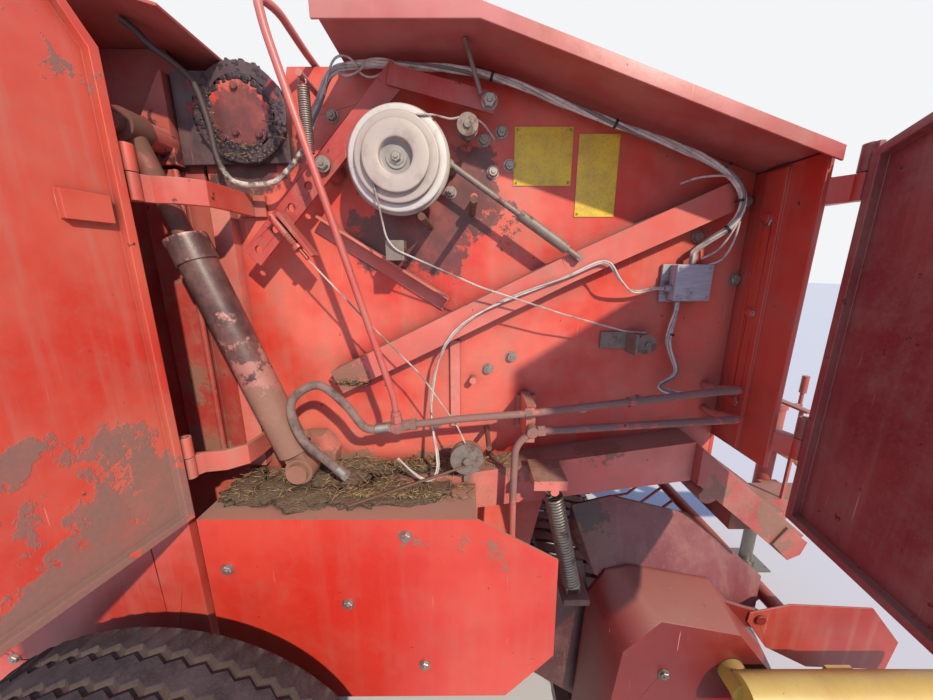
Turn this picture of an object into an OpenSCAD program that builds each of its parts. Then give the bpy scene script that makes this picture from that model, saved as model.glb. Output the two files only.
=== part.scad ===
// Round baler with a fixed chamber of press rollers, towed, right-hand side doors open.
// Millimetres. +X is the way it is towed, +Y its left-hand side, +Z up.
// Every size below is laid out from the middle of the axle at ground level; the finished
// nodes are then moved so that the origin is the centre of the drawbar's towing eye.

/* [Chamber] */
// Inside width of the bale chamber
chamber_w = 1200; // [1100:10:1240]
// Height of the chamber's centre above the ground
chamber_z = 1160; // [1150:1:1175]
// Radius of the circle on which the press rollers lie
ring_r = 647; // [640:1:655]
// Diameter of one press roller's tube
roller_d = 140; // [120:1:150]
// Number of places on the roller circle
roller_places = 16; // [16:1:16]
// Angle of the tailgate's hinge, the first roller place, forward of the top
hinge_angle = 13.4; // [12.5:0.1:14.5]
// Thickness of the chamber's side walls
wall_t = 8; // [6:1:10]

/* [Body] */
// Half of the roof's width, out to its eaves
roof_half_w = 776; // [760:1:778]
// Height of the flat part of the roof above the circle of press rollers
roof_over = 79; // [77:1:86]
// How far the roof falls towards its front edge
roof_fall = 197; // [180:1:210]
// Inner face of the closed doors and covers, from the middle
skin_in = 781; // [781:1:784]
// Thickness of a door with its folded rim
door_t = 20; // [16:1:22]
// Bottom edge of the doors
door_bottom_z = 1012; // [1010:1:1020]
// Top edge of the lower side covers
cover_top_z = 1000; // [990:1:1003]
// Thickness of sheet metal covers
sheet_t = 4; // [3:0.5:5]
// Front wall of the body, its back face
front_x = 1205; // [1200:1:1208]
// How far the rear door on the right stands open, in degrees
rear_door_open = 101.5; // [80:0.5:105]
// How far the front door on the right stands open, in degrees
front_door_open = 81; // [60:0.5:95]

/* [Wheels] */
// Outer diameter of the road tyres
tyre_d = 845; // [835:1:850]
// Width of the road tyres
tyre_w = 290; // [280:1:294]
// Distance of a road wheel's middle from the machine's middle
wheel_y = 1005; // [1005:1:1020]
// Diameter of the wheel rim
rim_d = 400; // [380:1:410]
// Width of the square axle beam
axle_w = 80; // [70:1:82]
// Radius of the stub axle
stub_r = 30; // [26:1:32]
// Diameter of the gauge wheels beside the pickup
gauge_d = 360; // [350:1:364]
// Width of the gauge wheels
gauge_w = 150; // [130:1:160]

/* [Pickup] */
// Distance of the pickup's pivot in front of the axle
pickup_pivot_x = 650; // [645:1:655]
// Height of the pickup's pivot
pickup_pivot_z = 480; // [475:1:485]
// Distance of the tine reel's shaft in front of the axle
reel_x = 1105; // [1100:1:1110]
// Height of the tine reel's shaft, with the pickup raised
reel_z = 290; // [286:1:294]
// Radius that the tine tips reach
tine_r = 168; // [160:1:172]
// Radius of the stripper bands
band_r = 124; // [122:1:128]
// Number of stripper bands
band_count = 21; // [17:2:21]
// Width of one stripper band
band_w = 42; // [38:1:43]
// Distance between two bands' middles
band_pitch = 60; // [60:1:62]

/* [Drawbar] */
// Distance of the towing eye in front of the axle
eye_x = 2650; // [2600:5:2750]
// Height of the towing eye
eye_z = 450; // [440:1:470]
// Radius of the hole in the towing eye
eye_bore_r = 20.5; // [18:0.5:25]
// Height of the towing eye's ring
eye_h = 30; // [25:1:35]
// Height of the drawbar's tubes
drawbar_h = 100; // [90:1:105]
// Where the parking jack stands in front of the axle
jack_x = 2055; // [2040:5:2160]

/* [Running clearances] */
// Gap round a pin that turns in its bore
pin_gap = 0.1; // [0.05:0.01:0.1]
// Gap between the front body and the tailgate
split_gap = 8; // [6:1:9]
// Gap that is left where two nodes on one body are fitted
seat_gap = 0.3; // [0.2:0.1:0.4]

/* [Hidden] */
$fn = 48;

red = "#c7382c";
dark_red = "#7d2a2c";
yellow = "#d9a928";
steel = "#8d8a86";
cream = "#d6cfc0";
rubber = "#2b2928";

// Layers, measured outwards from the machine's middle
wall_in = chamber_w / 2;
wall_out = wall_in + wall_t;
skin_out = skin_in + door_t;

// The tailgate's hinge is on the roller circle
hinge_x = ring_r * sin(hinge_angle);
hinge_z = chamber_z + ring_r * cos(hinge_angle);
split_x = 45;
hub_r = 120;
pivot_pin_r = 40;
hinge_plate_in = wall_out + 5;
hinge_plate_t = 12;
hub_ring_r = 90;
hub_cap_r = 64;
hub_depth = 24;

roof_z = chamber_z + ring_r + roof_over;
roof_bend_x = 615;
roof_rear_x = 356;
roof_front_x = front_x + 10;
lip_h = 24;
axle_z = tyre_d / 2;

module at_eye() {
    translate([-eye_x, 0, -eye_z]) children();
}

module both_sides() {
    children();
    mirror([0, 1, 0]) children();
}

// An outline in X and Z, between two distances from the middle, on the right-hand side
module slab(points, from, to) {
    translate([0, -from, 0]) rotate([90, 0, 0]) linear_extrude(to - from) polygon(points);
}

// A round bar or disc across the machine, on the right-hand side
module rod_y(x, z, r, from, to) {
    translate([x, -from, z]) rotate([90, 0, 0]) cylinder(r = r, h = to - from);
}

// A bar between two points given as X and Z, its length along local X
module along(p, q) {
    translate([p[0], 0, p[1]]) rotate([0, -atan2(q[1] - p[1], q[0] - p[0]), 0]) children();
}

function unit(v) = v / norm(v);

function bar_outline(p, q, w) =
    let (d = unit(q - p), n = [-d[1], d[0]] * w / 2) [p + n, q + n, q - n, p - n];

// A smooth line through the points, with steps pieces between two points
function through(p, steps) = [
    for (i = [0 : len(p) - 2]) for (k = [0 : steps - 1])
        let (t = k / steps, a = p[max(i - 1, 0)], b = p[i], c = p[i + 1],
             d = p[min(i + 2, len(p) - 1)])
        0.5 * (2 * b + (c - a) * t + (2 * a - 5 * b + 4 * c - d) * t * t
            + (3 * b - a - 3 * c + d) * t * t * t),
    p[len(p) - 1]
];

// A line with its inner corners rounded, each over the length bend
function bent(p, bend, steps = 5) = [
    p[0],
    for (i = [1 : len(p) - 2])
        let (a = p[i] + unit(p[i - 1] - p[i]) * bend, b = p[i] + unit(p[i + 1] - p[i]) * bend)
        for (k = [0 : steps])
            let (t = k / steps) (1 - t) * (1 - t) * a + 2 * t * (1 - t) * p[i] + t * t * b,
    p[len(p) - 1]
];

function tangent(p, i) = unit(p[min(i + 1, len(p) - 1)] - p[max(i - 1, 0)]);

// A tube of radius r along a line of points; ref is a direction that the line never takes
module tube(p, r, sides = 8, ref = [0.57, 0.6, -0.57]) {
    n = len(p);
    rings = [
        for (i = [0 : n - 1])
            let (t = tangent(p, i), u = unit(cross(ref, t)), w = cross(t, u))
            for (k = [0 : sides - 1])
                p[i] + r * (cos(360 * k / sides) * u + sin(360 * k / sides) * w)
    ];
    skin = [
        for (i = [0 : n - 2]) for (k = [0 : sides - 1])
            let (a = i * sides + k, b = i * sides + (k + 1) % sides)
            each [[a, a + sides, b + sides], [a, b + sides, b]]
    ];
    ends = [
        [for (k = [0 : sides - 1]) k],
        [for (k = [sides - 1 : -1 : 0]) (n - 1) * sides + k]
    ];
    polyhedron(rings, concat(skin, ends), convexity = 6);
}

function roller_at(k) =
    let (a = hinge_angle + k * 360 / roller_places)
    [ring_r * sin(a), chamber_z + ring_r * cos(a)];

function roof_under(x) =
    roof_z - sheet_t - (x <= roof_bend_x ? 0
        : roof_fall * (x - roof_bend_x) / (roof_front_x - roof_bend_x));

front_rollers = [0, 1, 2, 3, 4, 6, 7, 8];
rear_rollers = [9, 10, 11, 12, 13, 14, 15];

wall_foot = axle_z + 15;
front_wall = [
    [split_x + split_gap / 2, hinge_z + 10], [74, hinge_z + 52], [228, hinge_z + 52],
    [238, roof_under(0)], [roof_bend_x, roof_under(0)],
    [front_x, roof_under(front_x)], [front_x, 985], [800, 940], [735, 600], [700, wall_foot],
    [axle_w / 2, wall_foot], [axle_w / 2, axle_z + axle_w / 2],
    [-axle_w / 2, axle_z + axle_w / 2], [-axle_w / 2, wall_foot],
    [-246, wall_foot], [-246, 616], [split_x + split_gap / 2, 946]
];

module wall_plate() {
    slab(front_wall, wall_in, wall_out);
    rod_y(hinge_x, hinge_z, pivot_pin_r, wall_out, wall_out + 24);
    rod_y(hinge_x, hinge_z, hub_cap_r, wall_out + 23, wall_out + 28);
    // Bolts of the hub's cap
    for (p = [[-4, 46], [-12, -34], [34, -38], [-38, -44]])
        rod_y(hinge_x + p[0], hinge_z + p[1], 7, wall_out + 27, wall_out + 34);
    rod_y(pickup_pivot_x, pickup_pivot_z, 22, wall_out, 668);
    rod_y(pickup_pivot_x, pickup_pivot_z, 32, wall_out, 646);
}

module side_wall_right() {
    color(red) wall_plate();
}

module side_wall_left() {
    color(red) mirror([0, 1, 0]) wall_plate();
}

// The ram's lower pin, and its eye on the tailgate
ram_y = 706;
ram_foot = [228, 1060];
ram_eye = [-12, 1738];
ram_len = norm(ram_eye - ram_foot);
ram_r = 34;
ram_pin_r = 15;

beam_top = [[300, 1240], [805, roof_z - 398], [1150, roof_z - 244]];
beam_depth = 56;
beam_out = wall_out + 46;

module side_beams() {
    for (i = [0, 1])
        slab(bar_outline(beam_top[i], beam_top[i + 1], beam_depth), wall_out, beam_out);
    // Lower longitudinal beam, open channel towards the drawbar's arm
    slab([[230, 935], [230, 985], [560, 1021], [1120, 1106], [1120, 1008], [600, 932]],
        wall_out, wall_out + 72);
    // Lug for the ram's foot
    slab([[185, 990], [175, 1062], [205, 1105], [252, 1105], [280, 1062], [270, 990]],
        wall_out, wall_out + 40);
    rod_y(ram_foot[0], ram_foot[1], ram_pin_r, wall_out, ram_y + 34);
    rod_y(ram_foot[0], ram_foot[1], 26, wall_out, ram_y - 24);
    rod_y(ram_foot[0], ram_foot[1], 22, ram_y + 24, ram_y + 34);
    // Upright at the split line
    slab([[60, 1020], [60, 1640], [100, 1640], [100, 1020]], wall_out, wall_out + 26);
    // Bracket that holds the pickup's spring
    slab([[735, 1040], [735, 1062], [805, 1062], [805, 1040]], wall_out + 70, 765);
    rod_y(779, 1036, 9, 735, 765);
}

module wall_beams_right() {
    color(red) side_beams();
    color(red) {
        // Angle irons and small brackets round the tying gear
        slab(bar_outline([277, 1585], [548, 1415], 34), wall_out, wall_out + 5);
        slab(bar_outline([282, 1598], [555, 1428], 5), wall_out, wall_out + 34);
        slab([[556, 1116], [556, 1330], [578, 1330], [578, 1116]], wall_out, wall_out + 8);
        rod_y(609, 1237, 8, wall_out, wall_out + 24);
        slab([[715, 1112], [715, 1196], [760, 1196], [760, 1112]], wall_out, wall_out + 8);
        slab([[724, 1118], [724, 1206], [744, 1206], [744, 1118]], wall_out + 7, 704 - seat_gap);
        // Peg that holds the lever's spring
        rod_y(299, 1828, 6, wall_out, 700);
        // Stub tubes that the tying gear is bolted to
        for (p = [[502, 1598], [609, 1631]]) rod_y(p[0], p[1], 7, wall_out, 664);
    }
    color(steel) {
        // Bolt heads and bushes on the wall
        for (b = [[378, 1770], [355, 1700], [508, 1740], [650, 1690], [630, 1750], [560, 1650],
                [548, 1350], [520, 1120], [645, 1260], [700, 1290], [1100, 1560],
                [880, 1160], [1010, 1180]])
            rod_y(b[0], b[1], 9, wall_out, wall_out + 9);
    }
}

module wall_beams_left() {
    color(red) mirror([0, 1, 0]) side_beams();
}

module roof() {
    color(red) {
        difference() {
            translate([0, roof_half_w, 0]) rotate([90, 0, 0]) linear_extrude(2 * roof_half_w)
                polygon([[roof_rear_x, roof_z], [roof_bend_x, roof_z],
                    [roof_front_x, roof_z - roof_fall], [roof_front_x, roof_z - roof_fall - lip_h],
                    [roof_bend_x, roof_z - lip_h], [roof_rear_x, roof_z - lip_h]]);
            translate([0, roof_half_w - sheet_t, 0]) rotate([90, 0, 0])
                linear_extrude(2 * (roof_half_w - sheet_t))
                polygon([[roof_rear_x - 1, roof_z - sheet_t], [roof_bend_x, roof_z - sheet_t],
                    [roof_front_x + 1, roof_under(roof_front_x + 1)],
                    [roof_front_x + 1, roof_z - roof_fall - 2 * lip_h],
                    [roof_bend_x, roof_z - 2 * lip_h], [roof_rear_x - 1, roof_z - 2 * lip_h]]);
        }
        // Lifting lugs over the side walls
        both_sides() difference() {
            slab([[368, roof_z], [368, roof_z + 34], [392, roof_z + 58], [440, roof_z + 58],
                [470, roof_z]], 650, 660);
            rod_y(408, roof_z + 30, 14, 649, 661);
        }
    }
}

module front_panel() {
    top = roof_under(front_x + 10);
    color(red) {
        translate([front_x, -wall_out, 985]) cube([10, 2 * wall_out, top - 985]);
        both_sides() {
            slab([[front_x, 1092], [front_x, top], [front_x + 10, top], [front_x + 10, 1092]],
                wall_out - 1, 762);
            // Bolted strip behind the wing
            slab([[front_x - 6, 1100], [front_x - 6, top - 6], [front_x + 1, top - 6],
                [front_x + 1, 1100]], wall_out + 34, wall_out + 84);
            slab([[front_x + 10, 1240], [front_x + 10, 1280], [front_x + 24, 1280],
                [front_x + 24, 1240]], 700, 740);
            for (z = front_hinge_z) hinge_foot(z);
        }
    }
    color(steel) both_sides() for (z = [1200, 1400, front_hinge_z[1] - 10])
        translate([front_x - 14, -wall_out - 60, z]) rotate([0, 90, 0]) cylinder(r = 9, h = 9);
}

// Door hinges: the axis stands in the plane of the closed door
door_y = skin_in + door_t / 2;
rear_axis_x = 50;
front_axis_x = front_x + 35;
knuckle_r = 11;
door_pin_r = 5;
knuckle_h = 44;
door_from_axis = 16;
rear_hinge_z = [1090, 1600];
front_hinge_z = [1130, roof_z - 286];

// A bracket from the front panel's wing to the door's axis, with its pin
module hinge_foot(z) {
    translate([0, 0, z]) {
        linear_extrude(knuckle_h - 1) {
            polygon([[front_x + 8, -720], [front_x + 8, -762], [front_axis_x - 5, -door_y],
                [front_axis_x + 8, -door_y], [front_x + 22, -720]]);
            translate([front_axis_x, -door_y]) circle(r = knuckle_r);
        }
        translate([front_axis_x, -door_y, 0]) cylinder(r = door_pin_r, h = 2 * knuckle_h);
    }
}

module strap(z) {
    translate([0, 0, z]) {
        linear_extrude(knuckle_h - 1) {
            polygon([[112, -wall_out], [166, -wall_out], [166, -wall_out - 8],
                [144, -wall_out - 10], [142, -700], [136, -742], [104, -767], [66, -775],
                [54, -door_y], [46, -door_y], [52, -771], [98, -758], [127, -737], [133, -698],
                [134, -wall_out - 10], [112, -wall_out - 8]]);
            translate([rear_axis_x, -door_y]) circle(r = knuckle_r);
        }
        translate([rear_axis_x, -door_y, 0]) cylinder(r = door_pin_r, h = 2 * knuckle_h);
    }
}

module door_straps() {
    color(red) both_sides() for (z = rear_hinge_z) strap(z);
}

rear_door = [
    [rear_axis_x + door_from_axis, door_bottom_z], [645, door_bottom_z],
    [645, roof_z - 18], [110, roof_z - 18], [rear_axis_x + door_from_axis, roof_z - 80]
];
front_door = [
    [655, door_bottom_z], [front_axis_x - door_from_axis, door_bottom_z],
    [front_axis_x - door_from_axis, roof_z - 214], [655, roof_z - 34]
];

// A door as it lies when closed on the right: a sheet with a folded rim
module door_leaf(outline, inner) {
    difference() {
        slab(outline, skin_in, skin_out);
        slab(inner, skin_in - 1, skin_out - 6);
    }
}

module door_knuckles(x, zs, back) {
    for (z = zs) difference() {
        translate([0, 0, z + knuckle_h]) {
            translate([x, -door_y, 0]) cylinder(r = knuckle_r, h = knuckle_h - 2);
            translate([back > 0 ? x : x - door_from_axis - 2, -door_y - 4, 0])
                cube([door_from_axis + 2, 8, knuckle_h - 2]);
        }
        translate([x, -door_y, z]) cylinder(r = door_pin_r + pin_gap, h = 3 * knuckle_h);
    }
}

module rear_leaf() {
    door_leaf(rear_door, [[rear_axis_x + door_from_axis + 14, door_bottom_z + 14],
        [631, door_bottom_z + 14], [631, roof_z - 32], [116, roof_z - 32],
        [rear_axis_x + door_from_axis + 14, roof_z - 86]]);
    door_knuckles(rear_axis_x, rear_hinge_z, 1);
    slab([[90, 1560], [90, 1600], [150, 1600], [150, 1560]], skin_in + 4, skin_in + 15);
}

module front_leaf() {
    door_leaf(front_door, [[669, door_bottom_z + 14],
        [front_axis_x - door_from_axis - 14, door_bottom_z + 14],
        [front_axis_x - door_from_axis - 14, roof_z - 224], [669, roof_z - 52]]);
    door_knuckles(front_axis_x, front_hinge_z, -1);
    slab([[900, 1280], [900, 1320], [1040, 1320], [1040, 1280]], skin_in + 4, skin_in + 15);
}

module swung(x, angle) {
    translate([x, -door_y, 0]) rotate([0, 0, angle]) translate([-x, door_y, 0]) children();
}

module door_rear_right() {
    color(red) swung(rear_axis_x, -rear_door_open) rear_leaf();
}

module door_front_right() {
    color(red) swung(front_axis_x, front_door_open) front_leaf();
}

module door_rear_left() {
    color(red) mirror([0, 1, 0]) rear_leaf();
}

module door_front_left() {
    color(red) mirror([0, 1, 0]) front_leaf();
}

module twine_box() {
    color(red) difference() {
        translate([front_x + 10 + seat_gap, -440, 1180]) cube([265, 880, 300]);
        translate([front_x + 24, -426, 1194]) cube([237, 852, 300]);
    }
    color(red) translate([front_x + 14, -440, 1480 + seat_gap]) cube([265, 880, 8]);
}

module lower_cover() {
    slab([[split_x + 5, 520], [split_x + 5, cover_top_z], [615, cover_top_z], [785, 902],
        [789, 646], [684, 526]], skin_out - sheet_t, skin_out);
    // Folded ledge that ties the cover to the wall, and its lower stay
    slab([[split_x + 5, cover_top_z - sheet_t], [split_x + 5, cover_top_z],
        [176, cover_top_z], [176, cover_top_z - sheet_t]], wall_out, skin_out);
    slab([[175, cover_top_z - sheet_t], [175, cover_top_z], [615, cover_top_z],
        [615, cover_top_z - sheet_t]], wall_out + 73, skin_out);
    for (x = [120, 560])
        slab([[x, 560], [x, 610], [x + 6, 610], [x + 6, 560]], wall_out, skin_out);
}

module lower_covers() {
    color(red) both_sides() lower_cover();
    color(steel) both_sides() for (b = [[95, 880], [470, 960], [340, 790], [500, 620]])
        rod_y(b[0], b[1], 9, skin_out, skin_out + 6);
}

module axle() {
    color(red) {
        translate([-axle_w / 2, -845, axle_z - axle_w / 2]) cube([axle_w, 1690, axle_w]);
        both_sides() {
            rod_y(0, axle_z, stub_r, 844, 1070);
            rod_y(0, axle_z, 46, 830, 862);
        }
    }
}

module press_roller(k) {
    p = roller_at(k);
    rod_y(p[0], p[1], roller_d / 2, -wall_in + seat_gap, wall_in - seat_gap);
}

module press_rollers_front() {
    color(steel) for (k = front_rollers) press_roller(k);
}

module press_rollers_rear() {
    color(steel) for (k = rear_rollers) press_roller(k);
}

module feed_floor() {
    color(red) {
        translate([0, wall_in - seat_gap, 0]) rotate([90, 0, 0])
            linear_extrude(2 * (wall_in - seat_gap))
            polygon([[430, 560], [430, 566], [690, 470], [690, 464]]);
        translate([430, -wall_in + seat_gap, 500]) cube([6, 2 * (wall_in - seat_gap), 64]);
        // Plate over the intake, behind the front panel
        translate([0, wall_in - seat_gap, 0]) rotate([90, 0, 0])
            linear_extrude(2 * (wall_in - seat_gap))
            polygon([[720, 985], [720, 990], [front_x - 1, 1010], [front_x - 1, 1004]]);
    }
}

// Tailgate
gate_back = [[0, 1912], [-330, 1912], [-655, 1612], [-772, 1250], [-754, 850], [-516, 510],
    [-254, 450]];
gate_front_x = split_x - split_gap / 2;
// Front edge of the tailgate's covers, behind the doors' hinges
cover_x = split_x - 13;

module tailgate_sides() {
    outline = concat([[gate_front_x, hinge_z + 62]], gate_back,
        [[-254, 616], [gate_front_x, 946]]);
    color(red) both_sides() {
        difference() {
            slab(outline, wall_in, wall_out);
            for (p = [[-500, 1180]]) rod_y(p[0], p[1], 20, wall_in - 1, wall_out + 1);
        }
        // Lug and boss for the ram's rod
        slab([[-70, 1700], [-70, 1775], [-20, 1790], [20, 1760], [30, 1720], [0, 1690]],
            wall_out, wall_out + 5);
        slab([[-52, 1696], [-46, 1782], [4, 1862], [10, 1862], [10, 1696]], wall_out + 4,
            wall_out + 30);
        // Upright channel along the split line, with a round bead on its edge
        slab([[-78, 1010], [-78, 1690], [-3, 1690], [-3, 1010]], wall_out, wall_out + 22);
        translate([-3, -wall_out - 19, 1010]) cylinder(r = 6, h = 680);
        rod_y(ram_eye[0], ram_eye[1], 24, wall_out, ram_y - 24);
        // Stays that carry the outer covers
        for (p = [[-250, 1500], [-560, 1150], [-300, 760]])
            rod_y(p[0], p[1], 14, wall_out, skin_in);
    }
}

function toward_hub(p, d) = p + d * unit([-250, 1180] - p);

module tailgate_skin() {
    inner = [for (p = gate_back) toward_hub(p, 7)];
    color(red) {
        difference() {
            translate([0, roof_half_w, 0]) rotate([90, 0, 0])
                linear_extrude(2 * roof_half_w)
                polygon(concat([[127, 1882]], [for (p = gate_back) toward_hub(p, -6)],
                    [[-254, 450]], [for (i = [len(gate_back) - 1 : -1 : 0]) gate_back[i]],
                    [[125, 1877]]));
        }
        // Ribs across the back
        for (z = [1000, 1430]) translate([z > 1200 ? -746 : -786, -560, z]) cube([30, 1120, 50]);
    }
}

module tailgate_covers() {
    outline = concat([[cover_x, 1020], [cover_x, 1560]], [[-20, 1660], [-20, 1840]],
        [for (i = [1 : 4]) toward_hub(gate_back[i], 8)], [[-476, 572], [cover_x, 572]]);
    color(red) both_sides() slab(outline, skin_in, skin_in + sheet_t);
    color(red) both_sides() slab([[cover_x, 560], [cover_x, cover_top_z],
        [-560, cover_top_z], [-620, 760], [-476, 572]], skin_in + sheet_t, skin_out);
    color(steel) both_sides() for (b = [[-60, 640], [-420, 640], [-60, 960]])
        rod_y(b[0], b[1], 9, skin_out, skin_out + 6);
}

module hinge_plates() {
    color(dark_red) both_sides() difference() {
        union() {
            slab([[15, 1699], [15, 1866], [118, 1866], [hinge_x, hinge_z], [235, 1760],
                [235, 1703]], hinge_plate_in, hinge_plate_in + hinge_plate_t);
            rod_y(hinge_x, hinge_z, hub_ring_r, hinge_plate_in, hinge_plate_in + hub_depth);
            slab([[15, 1790 + seat_gap], [15, 1850], [36, 1850], [36, 1790 + seat_gap]],
                wall_out, hinge_plate_in + 1);
        }
        rod_y(hinge_x, hinge_z, pivot_pin_r + pin_gap, 590, 680);
        rod_y(hinge_x, hinge_z, hub_cap_r + 4, hinge_plate_in + 6, 680);
        slab([[-80, 1680], [-80, 1790 + seat_gap], [40, 1780], [40, 1680]], 600,
            wall_out + 5 + seat_gap);
    }
}

module tail_lamps() {
    color(red) both_sides() {
        slab([[-801, 1090], [-801, 1094], [-771.3, 1094], [-771.3, 1090]], 520, 770);
        translate([-806, -770, 1040]) cube([6, 250, 120]);
    }
    color(cream) both_sides() translate([-842, -760, 1055]) cube([36, 200, 90]);
}

// Rams: the barrel hinges on the foot, the rod slides out of it
ram_tilt = atan2(ram_eye[0] - ram_foot[0], ram_eye[1] - ram_foot[1]);
ram_rod_r = 18;
ram_barrel_len = 520;

module in_ram(side) {
    translate([ram_foot[0], side * ram_y, ram_foot[1]]) rotate([0, ram_tilt, 0]) children();
}

module ram_barrel(side) {
    color(red) in_ram(side) difference() {
        union() {
            translate([0, 0, 40]) cylinder(r = ram_r, h = ram_barrel_len - 40);
            translate([0, 0, ram_barrel_len - 50]) cylinder(r = ram_r + 3, h = 50);
            rotate([90, 0, 0]) cylinder(r = 30, h = 44, center = true);
            translate([-22, -16, 10]) cube([44, 32, 50]);
            translate([0, 0, 70]) rotate([0, 90, 0]) cylinder(r = 10, h = ram_r + 14);
        }
        translate([0, 0, 60]) cylinder(r = ram_rod_r + pin_gap, h = ram_barrel_len);
        rotate([90, 0, 0]) cylinder(r = ram_pin_r + pin_gap, h = 100, center = true);
    }
}

// The rod's eye with its pin in it, which ends just clear of the tailgate's boss
module ram_rod(side) {
    color(steel) in_ram(side) {
        translate([0, 0, 100]) cylinder(r = ram_rod_r, h = ram_len - 100 - 20);
        translate([0, 0, ram_len]) rotate([90, 0, 0]) cylinder(r = 28, h = 44, center = true);
        translate([0, 0, ram_len]) rotate([-90 * side, 0, 0]) cylinder(r = ram_pin_r, h = 34);
    }
}

module ram_barrel_right() {
    ram_barrel(-1);
}

module ram_rod_right() {
    ram_rod(-1);
}

module ram_barrel_left() {
    ram_barrel(1);
}

module ram_rod_left() {
    ram_rod(1);
}

// Drawbar: short arms fall from the lower beams to a cross beam, and two legs run from it
// to the tongue
arm_top = [1120 + seat_gap, 1058];
arm_end = [1372, 850];
arm_depth = 68;
arm_in = 622;
arm_out = 704;
cross_x = 1325;
cross_z = 872;
cross_w = 90;
tongue_x = 1920;

module drawbar_leg() {
    hull() {
        translate([cross_x + cross_w / 2 - 10, -540, cross_z - 44]) cube([10, 110, 88]);
        translate([tongue_x - 90, -150, eye_z - drawbar_h / 2]) cube([60, 96, drawbar_h]);
    }
}

module drawbar_arms() {
    color(red) {
        both_sides() {
            difference() {
                slab(bar_outline(arm_top, arm_end, arm_depth), arm_in, arm_out);
                slab([[1000, 900], [1000, 1200], [arm_top[0], 1200], [arm_top[0], 900]],
                    600, 720);
            }
            slab([[arm_top[0], 1010], [arm_top[0], 1104], [1170, 1060], [1170, 1000]],
                wall_out, arm_out);
            // Closed end of the arm
            slab([[1318, 858], [1346, 902], [1400, 862], [1390, 828], [1362, 812]],
                arm_in, arm_out + 6);
            drawbar_leg();
            // Stub that the gauge's chain hangs from
            rod_y(1150, 985, 22, wall_out, arm_out);
        }
        translate([cross_x - cross_w / 2, -arm_in - 4, cross_z - cross_w / 2])
            cube([cross_w, 2 * arm_in + 8, cross_w]);
        translate([tongue_x - 90, -150, eye_z - drawbar_h / 2]) cube([90, 300, drawbar_h]);
    }
}

module drawbar_tongue() {
    color(red) {
        translate([tongue_x + seat_gap, -60, eye_z - drawbar_h / 2])
            cube([eye_x - 150 - tongue_x, 120, drawbar_h]);
        translate([tongue_x + seat_gap, -150, eye_z - drawbar_h / 2]) cube([14, 300, drawbar_h]);
        // Hook that carries the drive shaft when parked
        translate([pto_to[0] - 8, -8, eye_z + drawbar_h / 2]) cube([16, 16, 40]);
        translate([pto_to[0] - 20, -48, eye_z + drawbar_h / 2 + 36]) cube([40, 96, 8]);
        // Hose holder
        translate([tongue_x + 70, -59, eye_z + drawbar_h / 2]) cube([12, 12, 420]);
        translate([tongue_x + 60, -90, eye_z + drawbar_h / 2 + 416]) cube([32, 150, 10]);
    }
    color(steel) difference() {
        union() {
            translate([eye_x - 150, -30, eye_z - 15]) cube([120, 60, 30]);
            translate([eye_x - 150, -55, eye_z - 46]) cube([22, 110, 92]);
            translate([eye_x, 0, eye_z - eye_h / 2]) cylinder(r = 45, h = eye_h);
        }
        translate([eye_x, 0, eye_z - 50]) cylinder(r = eye_bore_r, h = 100);
    }
}

jack_y = 118;
jack_tube_r = 34;
jack_leg_r = 27;

module jack_tube() {
    color(red) difference() {
        union() {
            translate([jack_x, jack_y, 335]) cylinder(r = jack_tube_r, h = 525);
            translate([jack_x - 45, 60 + seat_gap, eye_z - 45]) cube([90, 34, 90]);
            translate([jack_x, jack_y, 859]) cylinder(r = 40, h = 26);
        }
        translate([jack_x, jack_y, 325]) cylinder(r = jack_leg_r + pin_gap, h = 485);
    }
    color(steel) {
        translate([jack_x, jack_y, 872]) rotate([0, 90, 0]) cylinder(r = 8, h = 110);
        translate([jack_x + 102, jack_y, 864]) cylinder(r = 8, h = 70);
        translate([jack_x + 102, jack_y, 934]) cylinder(r = 14, h = 80);
    }
}

module jack_leg() {
    color(steel) {
        translate([jack_x, jack_y, 10]) cylinder(r = jack_leg_r, h = 500);
        translate([jack_x - 75, jack_y - 75, 0]) cube([150, 150, 8]);
        translate([jack_x, jack_y, 7]) cylinder(r = 40, h = 22);
    }
}

gearbox_z = cross_z + cross_w / 2 + seat_gap;
pto_from = [1440, 1030];
pto_to = [2234, 590];

module gearbox() {
    color(red) {
        translate([1230, -110, gearbox_z]) cube([180, 220, 190]);
        translate([1230, -135, gearbox_z]) cube([180, 270, 16]);
        translate([1320, 90, 1030]) rotate([-90, 0, 0]) cylinder(r = 58, h = 40);
        translate([1320, 120, 1030]) rotate([-90, 0, 0]) cylinder(r = 34, h = 488);
        // Chain case at the end of the cross shaft
        mirror([0, 1, 0]) slab([[front_x + 10 + seat_gap, 1052], [front_x + 10 + seat_gap, 1130],
            [1360, 1110], [1375, 1030], [1350, 975], [1300, 975]], 606, 650);
        translate([1405, 0, pto_from[1]]) rotate([0, 90, 0]) cylinder(r = 52, h = 14);
        translate([1320, 0, gearbox_z + 188]) cylinder(r = 18, h = 20);
    }
}

module pto_joints() {
    color(steel) {
        translate([1419 + seat_gap, 0, pto_from[1]]) rotate([0, 90, 0]) cylinder(r = 24, h = 40);
        along(pto_from, pto_to) {
            translate([6, 0, 0]) rotate([0, 90, 0]) cylinder(r = 36, h = 56);
            translate([norm(pto_to - pto_from) - 10, 0, 0]) rotate([0, 90, 0])
                cylinder(r = 30, h = 110);
        }
    }
}

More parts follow.
